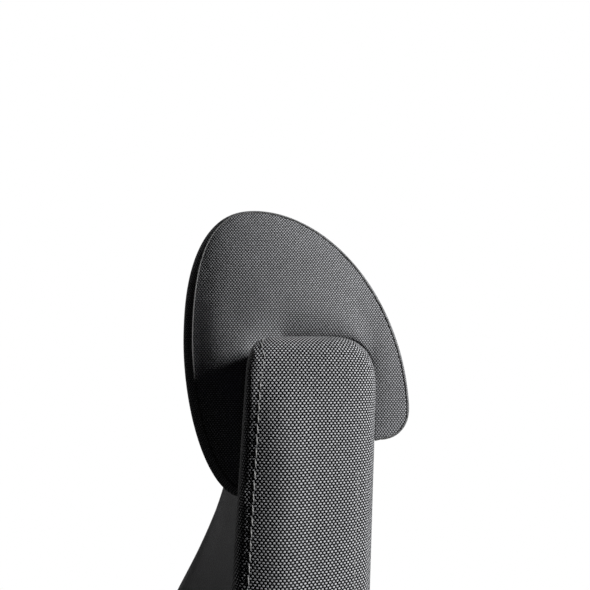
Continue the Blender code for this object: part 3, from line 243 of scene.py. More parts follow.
@dataclass(frozen=True)
class WovenCloth(Finish):
    """Cloth whose light weft shows as rows of dots, every other row half a step along."""

    name: str
    ground: Colour
    dot: Colour
    step: float = 0.00200
    rows: float = 0.00255
    relief: float = 0.00022
    bare: float = 0.29
    full: float = 0.80
    sway: float = 0.0007
    spread: float = 0.65
    pinch: float = 2.2
    dot_height: float = 0.8
    fuzz_height: float = 0.2

    def make(self) -> bpy.types.Material:
        """Makes the cloth, which follows the piece's own UV map in metres.

        Returns:
            The new material.
        """
        board = Board(self.name)
        place = board.place("UV")
        split = board.node("ShaderNodeSeparateXYZ")
        board.join(place, split.inputs[0])
        sway = board.math("SUBTRACT", board.noise(place, 55.0, 1.0), 0.5)
        sway = board.math("MULTIPLY", sway, self.sway)
        across = board.math("ADD", split.outputs[0], sway)
        along = board.math("ADD", split.outputs[1], sway)
        wave_x = board.math("COSINE", board.math("MULTIPLY", across, 2 * math.pi / self.step))
        wave_y = board.math("COSINE", board.math("MULTIPLY", along, 2 * math.pi / self.rows))
        lattices = []
        for sign in (0.5, -0.5):
            wide = board.math("POWER", board.math("MULTIPLY_ADD", wave_x, sign, 0.5), self.spread)
            low = board.math("POWER", board.math("MULTIPLY_ADD", wave_y, sign, 0.5), self.pinch)
            lattices.append(board.math("MULTIPLY", wide, low))
        dots = board.remap(board.math("ADD", *lattices), self.bare, self.full, 0.0, 1.0)
        yarn = board.remap(board.noise(place, 620.0, 2.0, 0.6), 0.30, 0.68, 0.66, 1.0)
        tone = board.remap(board.noise(place, 21.0, 2.0), 0.3, 0.7, 0.93, 1.0)
        share = board.math("MULTIPLY", board.math("MULTIPLY", dots, yarn), tone)
        board.join(board.blend(share, self.ground, self.dot), board.shader.inputs["Base Color"])
        fuzz = board.noise(place, 2600.0, 2.0)
        raised = board.math("MULTIPLY", dots, self.dot_height)
        height = board.math("ADD", raised, board.math("MULTIPLY", fuzz, self.fuzz_height))
        board.relief(height, self.relief, 0.9)
        board.set(Roughness=0.95, Specular_IOR_Level=0.0, Sheen_Weight=0.03, Sheen_Roughness=0.45)
        return board.material


@dataclass(frozen=True)
class SewingThread(Finish):
    """Twisted thread, with painted shade in the grooves between its strands."""

    name: str
    colour: Colour
    twist: float = 0.0009
    # How dark the painted shade in the grooves makes the thread's colour.
    shade: float = 0.55

    def make(self) -> bpy.types.Material:
        """Makes the thread, with its strands drawn by slanting waves whose dark bands are painted shade in
        the grooves.

        Returns:
            The new material.
        """
        board = Board(self.name)
        place = board.place()
        waves = board.node("ShaderNodeTexWave", wave_type="BANDS", bands_direction="DIAGONAL")
        board.join(place, waves.inputs["Vector"])
        waves.inputs["Scale"].default_value = 1.0 / self.twist / 3.2
        # Painted shade: the waves darken the colour in bands where the grooves between the strands fall in
        # shade.
        painted_groove_shade = tuple(self.shade * part for part in self.colour)
        board.join(board.blend(waves.outputs["Fac"], painted_groove_shade, self.colour), board.shader.inputs["Base Color"])
        board.relief(waves.outputs["Fac"], 0.0001, 0.6)
        board.set(Roughness=0.62, Specular_IOR_Level=0.35, Sheen_Weight=0.08)
        return board.material


@dataclass(frozen=True)
class MouldedPlastic(Finish):
    """Moulded plastic with a spark-eroded grain, a little polished in scattered patches."""

    name: str
    colour: Colour
    rough: float = 0.46
    grain: float = 0.0011
    depth: float = 0.00006

    def make(self) -> bpy.types.Material:
        """Makes the plastic.

        Returns:
            The new material.
        """
        board = Board(self.name)
        place = board.place()
        cells = board.node("ShaderNodeTexVoronoi", feature="SMOOTH_F1")
        board.join(place, cells.inputs["Vector"])
        cells.inputs["Scale"].default_value = 1.0 / self.grain
        worn = board.remap(board.noise(place, 14.0, 4.0, 0.6), 0.42, 0.66, 0.0, 1.0)
        light = tuple(min(1.0, part * 1.45 + 0.004) for part in self.colour)
        board.join(board.blend(worn, self.colour, light), board.shader.inputs["Base Color"])
        rough = board.remap(worn, 0.0, 1.0, self.rough + 0.06, self.rough - 0.08)
        board.join(rough, board.shader.inputs["Roughness"])
        board.relief(cells.outputs["Distance"], self.depth, 0.8)
        board.set(Specular_IOR_Level=0.45)
        return board.material


@dataclass(frozen=True)
class PowderCoat(Finish):
    """Baked paint on steel, with its slight orange peel."""

    name: str
    colour: Colour
    rough: float = 0.36

    def make(self) -> bpy.types.Material:
        """Makes the paint.

        Returns:
            The new material.
        """
        board = Board(self.name)
        place = board.place()
        dust = board.remap(board.noise(place, 9.0, 5.0, 0.62), 0.45, 0.75, 0.0, 0.5)
        pale = tuple(part + 0.035 for part in self.colour)
        board.join(board.blend(dust, self.colour, pale), board.shader.inputs["Base Color"])
        rough = board.remap(dust, 0.0, 0.5, self.rough, self.rough + 0.14)
        board.join(rough, board.shader.inputs["Roughness"])
        peel = board.noise(place, 1100.0, 2.0, 0.4)
        board.relief(peel, 0.00008, 0.7)
        board.set(Specular_IOR_Level=0.5, Coat_Weight=0.12, Coat_Roughness=0.25)
        return board.material


@dataclass(frozen=True)
class Metal(Finish):
    """Bare or plated metal with fine lines from polishing."""

    name: str
    colour: Colour
    rough: float
    lines: Triple = (60.0, 60.0, 900.0)
    depth: float = 0.00002

    def make(self) -> bpy.types.Material:
        """Makes the metal, its lines stretched by the scale on each axis.

        Returns:
            The new material.
        """
        board = Board(self.name)
        place = board.place()
        stretch = board.node("ShaderNodeMapping")
        board.join(place, stretch.inputs["Vector"])
        stretch.inputs["Scale"].default_value = self.lines
        brushed = board.noise(stretch.outputs["Vector"], 1.0, 3.0, 0.6)
        smears = board.noise(place, 16.0, 4.0, 0.6)
        dull = tuple(part * 0.82 for part in self.colour)
        board.join(board.blend(smears, dull, self.colour), board.shader.inputs["Base Color"])
        rough = board.remap(board.math("ADD", brushed, smears), 0.6, 1.4, self.rough * 0.7, self.rough * 1.5)
        board.join(rough, board.shader.inputs["Roughness"])
        board.relief(brushed, self.depth, 0.5)
        board.set(Metallic=1.0)
        return board.material


@dataclass(frozen=True)
class Rubber(Finish):
    """Soft black rubber or skinned foam with pores and scuffs."""

    name: str
    colour: Colour
    rough: float = 0.62
    pore: float = 0.0016

    def make(self) -> bpy.types.Material:
        """Makes the rubber.

        Returns:
            The new material.
        """
        board = Board(self.name)
        place = board.place()
        scuffs = board.remap(board.noise(place, 24.0, 5.0, 0.65), 0.48, 0.72, 0.0, 0.6)
        pale = tuple(part * 1.8 + 0.010 for part in self.colour)
        board.join(board.blend(scuffs, self.colour, pale), board.shader.inputs["Base Color"])
        rough = board.remap(scuffs, 0.0, 0.6, self.rough, self.rough + 0.16)
        board.join(rough, board.shader.inputs["Roughness"])
        pores = board.node("ShaderNodeTexVoronoi", feature="F1")
        board.join(place, pores.inputs["Vector"])
        pores.inputs["Scale"].default_value = 1.0 / self.pore
        board.relief(pores.outputs["Distance"], 0.00010, 0.5)
        board.set(Specular_IOR_Level=0.22)
        return board.material


CLOTH = WovenCloth("charcoal_weave", (0.003, 0.003, 0.0032), (0.470, 0.475, 0.492))
FINE_CLOTH = WovenCloth("soft_charcoal_weave", (0.026, 0.026, 0.0265), (0.370, 0.374, 0.390), bare=0.19)
FRONT_CLOTH = WovenCloth(
    "front_weave", (0.038, 0.038, 0.039), (0.285, 0.285, 0.290), relief=0.00010, bare=0.12
)
WELT_CLOTH = WovenCloth("welt_weave", (0.030, 0.030, 0.030), (0.300, 0.300, 0.300), 0.0012, 0.0015, 0.0001)
THREAD = SewingThread("grey_thread", (0.235, 0.235, 0.232))
FOAM_SKIN = Rubber("arm_pad_skin", (0.022, 0.022, 0.023), 0.58, 0.0013)
TREAD = Rubber("castor_tread", (0.040, 0.040, 0.041), 0.66, 0.0022)
PLASTIC = MouldedPlastic("black_moulding", (0.020, 0.020, 0.021))
CASTOR_PLASTIC = MouldedPlastic("castor_moulding", (0.017, 0.017, 0.017), 0.38, 0.0008)
PAINT = PowderCoat("black_paint", (0.017, 0.017, 0.018))
CHROME = Metal("bright_plating", (0.78, 0.78, 0.79), 0.10)
POLISHED = Metal("satin_aluminium", (0.50, 0.51, 0.52), 0.30, (240.0, 240.0, 240.0), 0.000006)
BLACKED = Metal("blackened_steel", (0.10, 0.10, 0.105), 0.34, (500.0, 500.0, 500.0), 0.00001)
STEEL = Metal("ground_steel", (0.46, 0.46, 0.47), 0.32)


# Soft forms


def ramp(low: float, high: float, value: float) -> float:
    """An eased step from 0 at low to 1 at high."""
    share = min(1.0, max(0.0, (value - low) / (high - low)))
    return share * share * (3.0 - 2.0 * share)


def resample(points: Sequence[Flat], count: int) -> list[Flat]:
    """Spaces points evenly along a line.

    Args:
        points: The line.
        count: How many points it gets, its ends included.

    Returns:
        The new points.
    """
    lengths = [0.0]
    for before, after in zip(points, points[1:]):
        lengths.append(lengths[-1] + math.dist(before, after))
    spaced = []
    at = 0
    for i in range(count):
        goal = lengths[-1] * i / (count - 1)
        while at < len(points) - 2 and lengths[at + 1] < goal:
            at += 1
        span = lengths[at + 1] - lengths[at]
        share = 0.0 if span == 0.0 else (goal - lengths[at]) / span
        here, there = points[at], points[at + 1]
        spaced.append(tuple(a + (b - a) * share for a, b in zip(here, there)))
    return spaced


def quarter(
    centre: Flat, reach: Flat, start: float, end: float, fullness: float = 2.0, count: int = 17
) -> list[Flat]:
    """A quarter of a rounded lobe.

    Args:
        centre: Its centre.
        reach: How far it reaches each way.
        start: First angle in degrees.
        end: Last angle in degrees.
        fullness: 2 is an ellipse and more is squarer.
        count: How many points it gets.

    Returns:
        The points in order.
    """
    points = []
    for i in range(count):
        angle = math.radians(start + (end - start) * i / (count - 1))
        c, s = math.cos(angle), math.sin(angle)
        first = centre[0] + reach[0] * math.copysign(abs(c) ** (2 / fullness), c)
        second = centre[1] + reach[1] * math.copysign(abs(s) ** (2 / fullness), s)
        points.append((first, second))
    return points


@dataclass(frozen=True)
class Station:
    """One section of a cushion: its place across, and how far its edge has rolled in, from 0 to 1."""

    across: float
    roll: float


def rolled_edge(edge: float, depth: float) -> list[Station]:
    """Stations over an edge that leaves its seam at a slant and turns until it faces away from the end.

    Args:
        edge: The seam's place across.
        depth: How far in across the turn ends.

    Returns:
        The stations from the seam inwards, without the last, which is rolled by 0.
    """
    slant = math.sqrt(0.5)
    stations = []
    for turn in (45, 54, 63, 72, 81):
        angle = math.radians(turn)
        place = edge - depth * (1 - math.cos(angle) / slant)
        stations.append(Station(place, (1 - math.sin(angle)) / (1 - slant)))
    return stations


def both_sides(left: list[Station]) -> list[Station]:
    """Stations from right to left, made from those of the left half, which run inwards."""
    return [Station(-s.across, s.roll) for s in left] + [Station(0.0, 0.0)] + left[::-1]


def corner_drop(x: float, half_width: float, corner: float) -> float:
    """How far an edge has come in round a corner of this radius."""
    over = max(0.0, abs(x) - (half_width - corner))
    return corner - math.sqrt(max(0.0, corner**2 - over**2))


def even(start: float, end: float, steps: int = FACE_STEPS) -> list[float]:
    """Evenly spaced values from start to end."""
    return [start + (end - start) * i / steps for i in range(steps + 1)]


def smooth_share(roll: float) -> float:
    """The same stations' share of a roll that leaves the end smoothly, as a quarter of an ellipse does.

    Args:
        roll: The station's own roll.

    Returns:
        The smooth roll, from 0 to 1.
    """
    slant = math.sqrt(0.5)
    rise = 1 - roll * (1 - slant)
    rest = math.sqrt(max(0.0, 1 - rise * rise)) / slant
    return 1 - math.sqrt(max(0.0, 1 - rest * rest))


@dataclass(frozen=True)
class Section:
    """The four sides of a section, all read from start to end and from outer to inner."""

    outer: list[Flat]
    inner: list[Flat]
    start: list[Flat]
    end: list[Flat]

    def loop(self) -> list[Flat]:
        """The closed outline: outer, end, inner back again, start back again."""
        return self.outer + self.end[1:-1] + self.inner[::-1] + self.start[-2:0:-1]


class BoxedCushion:
    """A sewn cushion: a skin over its sections and an end panel at each side."""

    name = "cushion"
    cloth: Finish = CLOTH
    front_cloth: Finish = CLOTH
    slot = "upholstery"
    body = "seat"
    nodes: tuple[str, ...] = ()
    rows = 80
    columns = 10
    pressure = 4.0
    panel_crown = 0.006
    skin_swell = 0.0025
    turn_in = 0.3
    seam_crease = 0.7
    fill = 0.8
    upright = True

    def stations(self) -> list[Station]:
        """The sections across the cushion, from right to left."""
        raise NotImplementedError

    def section(self, station: Station) -> Section:
        """The sides of one section, sampled by rows and columns."""
        raise NotImplementedError

    def lay(self, across: float, point: Flat) -> Vector:
        """Puts a section's point in place."""
        raise NotImplementedError

    def wraps(self, along: int) -> bool:
        """Whether the end panels' cloth goes on over the skin past this point of the section."""
        return False

    def sewn(self, along: int, station: Station) -> bool:
        """Whether a seam runs through a point of the skin."""
        return station.roll >= 1.0

    def held(self, along: int, station: Station) -> bool:
        """Whether a point of the skin is sewn or glued down."""
        return self.sewn(along, station)

    def sew(self, piece: bpy.types.Object) -> None:
        """Adds the visible sewing."""

    def give(self, s: float, t: float) -> float:
        """How far an end panel may swell at a share across it and along it."""
        return 1.0

    def stand(self, s: float, t: float) -> float:
        """How far the foam holds an end panel out at a share across it and along it."""
        return 0.0

    def sampled(self, outer: list[Flat], inner: list[Flat], start: list[Flat], end: list[Flat]) -> Section:
        """A section from its four sides, sampled by rows and columns."""
        long = [resample(side, self.rows) for side in (outer, inner)]
        return Section(*long, *(resample(side, self.columns + 1) for side in (start, end)))

    @property
    def around(self) -> int:
        """How many points a section's outline has."""
        return 2 * self.rows + 2 * (self.columns - 1)

    def build(self) -> bpy.types.Object:
        """Returns:
            The finished piece.
        """
        shape = bmesh.new()
        maps = shape.loops.layers.uv.new("cloth")
        kinds = shape.verts.layers.float.new("panel")
        stands = shape.verts.layers.float.new("stand")
        pins = shape.verts.layers.int.new("held")
        seams = shape.verts.layers.int.new("seam")
        creases = shape.edges.layers.float.new("crease_edge")
        stations = self.stations()
        sections = [self.section(station) for station in stations]
        self._skin(shape, (maps, kinds, stands, pins, seams), stations, sections)
        for section, station in ((sections[0], stations[0]), (sections[-1], stations[-1])):
            self._panel(shape, (maps, kinds, stands), section, station.across)
        bmesh.ops.remove_doubles(shape, verts=shape.verts[:], dist=0.00002)
        bmesh.ops.recalc_face_normals(shape, faces=shape.faces[:])
        for edge in shape.edges:
            if all(vert[seams] for vert in edge.verts):
                edge.smooth = False
                edge[creases] = self.seam_crease
        panel = [vert[kinds] for vert in shape.verts]
        stand = [vert[stands] for vert in shape.verts]
        held = [vert[pins] == 1 for vert in shape.verts]
        piece = smooth_piece(shape, self.name)
        Swelling(self.pressure, self.panel_crown, self.skin_swell).apply(piece, held, panel, stand)
        smoother = piece.modifiers.new("smooth", "SUBSURF")
        smoother.levels = smoother.render_levels = 1
        for finish in dict.fromkeys((self.cloth, self.front_cloth)):
            piece.data.materials.append(finish.material())
        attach(piece, self.body)
        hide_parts(*self.nodes)
        LOG.info("%s: %d faces", self.name, len(piece.data.polygons))
        return piece

    def _skin(
        self, shape: bmesh.types.BMesh, layers: tuple, stations: list[Station], sections: list[Section]
    ) -> None:
        """Wraps a grid round all the sections.

        Args:
            shape: The cushion's mesh.
            layers: Its cloth map, and its panel, stand, held and seam layers.
            stations: The sections' places.
            sections: The sections, in the same order.
        """
        maps, kinds, stands, pins, seams = layers
        around = self.around
        loops = [section.loop() for section in sections]
        made = bmesh.ops.create_grid(shape, x_segments=around, y_segments=len(stations) - 1, size=1.0)
        spots = [[self.lay(s.across, loop[i]) for i in range(around)] for s, loop in zip(stations, loops)]
        half = len(stations) // 2
        rolled = [[Vector(point) for point in loop] for loop in loops]
        ways = [Vector(way) for way in outward(loops[0])]
        for order in (range(1, half + 1), range(len(stations) - 2, half, -1)):
            step = -1 if order.step > 0 else 1
            for j in order:
                for i in range(around):
                    move = spots[j][i] - spots[j + step][i]
                    along = Vector((ways[i].y, -ways[i].x))
                    slip = move.y * along.x + move.z * along.y
                    rise = math.sqrt(max(0.0, move.length_squared - slip * slip))
                    rolled[j][i] = rolled[j + step][i] + along * slip + ways[i] * rise
        fronts = self.front_places(stations, spots)
        spot_of = {}
        for vert in made["verts"]:
            i = round((vert.co.x + 1) / 2 * around)
            j = round((vert.co.y + 1) / 2 * (len(stations) - 1))
            spot_of[vert] = (i, j)
            vert[pins] = int(self.held(i % around, stations[j]))
            vert[seams] = int(self.sewn(i % around, stations[j]))
            if self.wraps(i % around):
                share = self._panel_share(i % around)
                vert[kinds] = stations[j].roll * self.give(*share)
                vert[stands] = math.copysign(stations[j].roll * self.stand(*share), stations[j].across)
            vert.co = spots[j][i % around]
        for face in {face for vert in made["verts"] for face in vert.link_faces}:
            first = min(spot_of[corner.vert][0] for corner in face.loops)
            turned = min(stations[spot_of[corner.vert][1]].roll for corner in face.loops)
            whole = self.wraps(first) or turned > self.turn_in
            face.material_index = int(self.front_cloth != self.cloth and not whole)
            for corner in face.loops:
                i, j = spot_of[corner.vert]
                corner[maps].uv = rolled[j][i % around] if whole else fronts[j][i]

    def _panel_share(self, along: int) -> Flat:
        """Where a point of the outline lies on the end panel, across it and along it.

        Args:
            along: The point's number round the outline.

        Returns:
            The shares across and along, from 0 to 1.
        """
        rows, columns = self.rows, self.columns
        if along < rows:
            return 0.0, along / (rows - 1)
        if along < rows + columns - 1:
            return (along - rows + 1) / columns, 1.0
        if along < 2 * rows + columns - 1:
            return 1.0, (2 * rows + columns - 2 - along) / (rows - 1)
        return (2 * rows + 2 * columns - 2 - along) / columns, 0.0

    def front_places(self, stations: list[Station], spots: list[list[Vector]]) -> list[list[Flat]]:
        """The cloth's coordinates on a skin with a cut of its own.

        Args:
            stations: The sections across.
            spots: Their points.

        Returns:
            For each section, the distance across the cloth and up it, the first point again at the end.
        """
        mid = len(stations) // 2
        level = self.rows // 2
        widths = running_lengths([row[level] for row in spots])
        places = []
        for j, row in enumerate(spots):
            arcs = running_lengths(row + row[:1])
            shift = row[level].z - arcs[level] if self.upright else row[level].y - arcs[level]
            places.append([(widths[j] - widths[mid], arc + shift) for arc in arcs])
        return places

    def _panel(self, shape: bmesh.types.BMesh, layers: tuple, section: Section, across: float) -> None:
        """Fills one end with a grid between the section's four sides.

        Args:
            shape: The cushion's mesh.
            layers: Its cloth map, and its panel and stand layers.
            section: The end's outline.
            across: The end's place across.
        """
        maps, kinds, stands = layers
        columns, rows = self.columns, self.rows
        made = bmesh.ops.create_grid(shape, x_segments=columns, y_segments=rows - 1, size=1.0)
        places = {}
        for vert in made["verts"]:
            a = round((vert.co.x + 1) / 2 * columns)
            b = round((vert.co.y + 1) / 2 * (rows - 1))
            point = self.panel_point(section, a, b)
            places[vert] = point
            vert[kinds] = self.give(a / columns, b / (rows - 1))
            vert[stands] = math.copysign(self.stand(a / columns, b / (rows - 1)), across)
            vert.co = self.lay(across, point)
        for face in {face for vert in made["verts"] for face in vert.link_faces}:
            for corner in face.loops:
                corner[maps].uv = places[corner.vert]

    def panel_point(self, section: Section, a: float, b: float) -> Flat:
        """A point of an end panel between its four sides.

        Args:
            section: The panel's outline.
            a: Column, from the outer side to the inner.
            b: Row, from the start to the end.

        Returns:
            The point in the section's plane.
        """
        s, t = a / self.columns, b / (self.rows - 1)
        outer, inner = pick(section.outer, t), pick(section.inner, t)
        first, last = pick(section.start, s), pick(section.end, s)
        c00, c10 = section.start[0], section.start[-1]
        c01, c11 = section.end[0], section.end[-1]
        point = []
        for n in (0, 1):
            ruled = (1 - s) * outer[n] + s * inner[n] + (1 - t) * first[n] + t * last[n]
            corners = (1 - t) * ((1 - s) * c00[n] + s * c10[n]) + t * ((1 - s) * c01[n] + s * c11[n])
            point.append(ruled - corners)
        return point[0], point[1]


def pick(points: Sequence[Flat], share: float) -> Flat:
    """The point a share of the way through a list of points.

    Args:
        points: The points.
        share: How far through, from 0 to 1.

    Returns:
        The point.
    """
    at = min(len(points) - 2, int(share * (len(points) - 1)))
    part = share * (len(points) - 1) - at
    here, there = points[at], points[at + 1]
    return here[0] + (there[0] - here[0]) * part, here[1] + (there[1] - here[1]) * part


def running_lengths(points: Sequence[Vector]) -> list[float]:
    """The distance from the first point to each point along a line.

    Args:
        points: The line.

    Returns:
        The distances.
    """
    lengths = [0.0]
    for before, after in zip(points, points[1:]):
        lengths.append(lengths[-1] + (after - before).length)
    return lengths


def outward(loop: Sequence[Flat]) -> list[Flat]:
    """The ways out of a closed outline that runs clockwise, one for each point.

    Args:
        loop: The outline.

    Returns:
        The ways, each of length 1.
    """
    count = len(loop)
    ways = []
    for i in range(count):
        before, after = Vector(loop[i - 3]), Vector(loop[(i + 3) % count])
        along = (after - before).normalized()
        ways.append((-along.y, along.x))
    return ways


@dataclass(frozen=True)
class Swelling:
    """Cloth under the foam's pressure, held at its seams."""

    pressure: float
    panel_crown: float
    skin_swell: float
    frames: int = 20
    quick_reach: float = 0.05
    quick_rise: float = 0.012

    def apply(
        self, piece: bpy.types.Object, held: list[bool], panel: list[float], stand: list[float]
    ) -> None:
        """Swells a cushion and keeps the result in its mesh.

        Args:
            piece: The cushion.
            held: Which points are sewn down.
            panel: How far each point belongs to an end panel, from 0 to 1.
            stand: How far the foam holds each point out, besides.
        """
        start = [vert.co.copy() for vert in piece.data.vertices]
        moved = self._settle(piece, held)
        crown = max(abs(moved[i].x - start[i].x) for i in range(len(start)) if panel[i] > 0.5)
        LOG.info("%s: panels rose %.1f mm", piece.name, crown * 1000)
        for i, vert in enumerate(piece.data.vertices):
            shift = moved[i] - start[i]
            rise = shift.x * panel[i] * self.panel_crown / crown
            shift *= min(1.0, self.skin_swell / max(shift.length, 0.00001)) * (1 - panel[i])
            vert.co = start[i] + shift + Vector((rise + stand[i], 0.0, 0.0))
        piece.data.update()

    def _settle(self, piece: bpy.types.Object, held: list[bool]) -> list[Vector]:
        """Runs the cloth under pressure and returns where its points come to rest.

        Args:
            piece: The cushion.
            held: Which points are sewn down.

        Returns:
            The points' places at rest.
        """
        pins = piece.vertex_groups.new(name="sewn")
        pins.add([i for i, fixed in enumerate(held) if fixed], 1.0, "REPLACE")
        cloth = piece.modifiers.new("cloth", "CLOTH")
        rules = cloth.settings
        rules.quality = 5
        rules.mass = 0.35
        rules.tension_stiffness = rules.compression_stiffness = 40.0
        rules.shear_stiffness = 20.0
        rules.bending_stiffness = 4.0
        rules.use_pressure = True
        rules.uniform_pressure_force = self.pressure
        rules.vertex_group_mass = "sewn"
        rules.effector_weights.gravity = 0.0
        cloth.point_cache.frame_start = 1
        cloth.point_cache.frame_end = self.frames
        scene = bpy.context.scene
        for number in range(1, self.frames + 1):
            scene.frame_set(number)
        shown = piece.evaluated_get(bpy.context.evaluated_depsgraph_get())
        rest = [vert.co.copy() for vert in shown.data.vertices]
        piece.modifiers.remove(cloth)
        piece.vertex_groups.remove(pins)
        scene.frame_set(1)
        return rest


@dataclass
class BackCushion(BoxedCushion):
    """The boxed back with its two side wings and lumbar swell."""

    top: float = 1.150
    bottom: float = 0.530
    top_y: float = 0.223
    half_width: float = 0.240
    thickness: float = 0.069
    lean: float = math.tan(math.radians(3.0))
    hollow_depth: float = 0.0375
    front_roll: float = 0.0055
    rear_roll: float = 0.0240
    top_roll: float = 0.0040
    edge_depth: float = 0.0100
    front_round: float = 0.012
    rear_round: float = 0.020
    corner: float = 0.016
    between: int = 34
    wing_depth: float = 0.092
    wing_start: float = 0.090
    wing_power: float = 1.7
    wing_top: float = 0.150
    wing_full: float = 0.430
    wing_end: float = 0.640
    wing_fade: float = 0.55
    rear_wing: float = 0.5
    lumbar_depth: float = 0.022
    lumbar_drop: float = 0.470
    lumbar_span: float = 0.170
    taper: float = 0.14
    taper_over: Flat = (0.30, 0.62)
    foot_loss: float = 0.6
    foot_loss_over: Flat = (0.93, 1.0)
    top_gain: float = 0.4
    top_gain_over: Flat = (0.86, 0.96)
    rear_loss: float = 0.7
    rear_loss_over: Flat = (0.35, 1.0)
    glued_half: float = 0.200
    stitch_inset: float = 0.0046
    stitch_turn: float = 0.170
    rear_stitch: float = 0.0062
    rear_stitch_low: float = 0.06
    rear_stitch_loss: float = 0.13
    rear_stitch_steps: int = 90

    name = "back_upholstery"
    front_cloth = FRONT_CLOTH
    body = "back"
    nodes = ("back_cushion",)
    rows = 96
    columns = 10
    panel_crown = 0.0115
    skin_swell = 0.0007

    def hollow(self, x: float) -> float:
        """How far the middle lies behind the side edges at this width."""
        return self.hollow_depth * (1 - (x / self.half_width) ** 2)

    def wing(self, x: float, drop: float) -> float:
        """How far the wings come forward.

        Args:
            x: The place across.
            drop: The distance down from the top.

        Returns:
            The distance forward.
        """
        fade = 1 - self.wing_fade * ramp(self.wing_full, self.wing_end, drop)
        side = max(0.0, (abs(x) - self.wing_start) / (self.half_width - self.wing_start))
        return self.wing_depth * ramp(self.wing_top, self.wing_full, drop) * fade * side**self.wing_power

    def lumbar(self, x: float, drop: float) -> float:
        """How far the lumbar swell comes forward."""
        away = (drop - self.lumbar_drop) / self.lumbar_span
        return self.lumbar_depth * math.exp(-(away**2)) * (1 - (x / self.half_width) ** 2)

    def middle(self, x: float, z: float) -> float:
        """Where the back's middle layer runs."""
        return self.top_y - self.lean * (self.top - z) + self.hollow(x)

    def front(self, x: float, z: float) -> float:
        """Where the front skin runs."""
        drop = self.top - z
        return self.middle(x, z) - self.thickness / 2 - self.wing(x, drop) - self.lumbar(x, drop)

    def rear(self, x: float, z: float) -> float:
        """Where the rear skin runs."""
        return self.middle(x, z) + self.thickness / 2 - self.rear_wing * self.wing(x, self.top - z)

    def stations(self) -> list[Station]:
        """Close stations round the edges and the corners, then even ones.

        Returns:
            The stations from right to left.
        """
        edge = self.half_width
        outer = rolled_edge(edge, self.edge_depth)
        inner = edge - self.corner
        outer += [Station(inner + self.corner * math.sin(math.radians(t)), 0.0) for t in (19, 10)]
        count = self.between
        outer += [Station(inner * (count - i) / count, 0.0) for i in range(count)]
        return both_sides(outer)

    def section(self, station: Station) -> Section:
        """An upright section, its edges drawn in by the station's roll.

        Args:
            station: The section's place and roll.

        Returns:
            The section.
        """
        x, roll = station.across, station.roll
        front_in, smooth = roll * self.front_roll, smooth_share(roll)
        rear_in, top_in = smooth * self.rear_roll, smooth * self.top_roll
        drop = corner_drop(x, self.half_width, self.corner)
        top = self.top - drop - top_in
        bottom = self.bottom + drop + top_in
        low, high = bottom + self.front_round, top - self.front_round * 0.8
        rear_low, rear_high = bottom + self.rear_round, top - self.rear_round
        face = [(self.front(x, z) + front_in, z) for z in even(low, high)]
        rear = [(self.rear(x, z) - rear_in, z) for z in even(rear_low, rear_high)]
        fr, rr = self.front_round, self.rear_round
        top_front = quarter((face[-1][0] + fr, high), (fr, top - high), 180, 90)
        bottom_front = quarter((face[0][0] + fr, low), (fr, low - bottom), 270, 180)
        top_rear = quarter((rear[-1][0] - rr, rear_high), (rr, rr), 90, 0)
        bottom_rear = quarter((rear[0][0] - rr, rear_low), (rr, rr), 0, -90)
        outer = bottom_front[8:] + face[1:-1] + top_front[:9]
        inner = bottom_rear[8::-1] + rear[1:-1] + top_rear[:7:-1]
        end = top_front[8:] + top_rear[:9]
        start = bottom_front[8::-1] + bottom_rear[:7:-1]
        return self.sampled(outer, inner, start, end)

    def lay(self, across: float, point: Flat) -> Vector:
        """Puts a section's point in place on the back, which tapers towards the seat."""
        narrowed = self.taper * ramp(*self.taper_over, self.top - point[1])
        return Vector((across * (1 - narrowed), *point))

    def wraps(self, along: int) -> bool:
        """The front has its own cut; the side panels' cloth goes on over the top and round the rear."""
        return along >= self.rows - 1

    def sew(self, piece: bpy.types.Object) -> None:
        """Topstitches both sides beside the front seam, up round the corners, and along the rear edges.

        Args:
            piece: The finished back.
        """
        cloth = SewnLine(piece)
        front, rear = [], []
        for side in Side:
            aim = Vector((-side.value, 0.0, 0.0))
            edge = Station(side.value * self.half_width, 1.0)
            section = self.section(edge)
            points = []
            for b in range(1, self.rows - 1):
                share = self.stitch_inset / math.dist(section.outer[b], section.inner[b])
                points.append(self.lay(edge.across, self.panel_point(section, share * self.columns, b)))
            line = cloth.lay(points, aim)
            limits = self.stitch_turn, self.half_width - 0.001
            corner = [s for s in self.stations() if limits[0] < s.across * side.value < limits[1]]
            corner.sort(key=lambda station: -station.across * side.value)
            over = []
            for station in corner:
                top = self.section(station).end
                share = self.stitch_inset / sum(math.dist(a, b) for a, b in zip(top, top[1:]))
                over.append(self.lay(station.across, pick(top, share)))
            front.append(line + cloth.nearest(over))
            low, span = self.bottom + self.rear_stitch_low, self.top - self.bottom - self.rear_stitch_loss
            steps = self.rear_stitch_steps
            heights = [low + span * i / steps for i in range(steps + 1)]
            x = side.value * self.half_width
            spots = [self.lay(x, (self.rear(x, z) - self.rear_stitch, z)) for z in heights]
            rear.append(cloth.lay(spots, aim))
        Topstitch("back_topstitch_front", self.body).build(front)
        Topstitch("back_topstitch_rear", self.body, thickness=0.0007, proud=-0.00012).build(rear)

    def give(self, s: float, t: float) -> float:
        """The side panels swell most beside the front seam, more at the top and less at the foot.

        Args:
            s: The share across the panel.
            t: The share along it.

        Returns:
            How far the panel swells.
        """
        foot = 1 - self.foot_loss * ramp(*self.foot_loss_over, 1 - t)
        top = 1 + self.top_gain * ramp(*self.top_gain_over, t)
        return (1 - self.rear_loss * ramp(*self.rear_loss_over, s)) * (foot * top)

    def sewn(self, along: int, station: Station) -> bool:
        """One seam runs round the front panel."""
        return along in (0, self.rows - 1) or (station.roll >= 1.0 and along < self.rows)

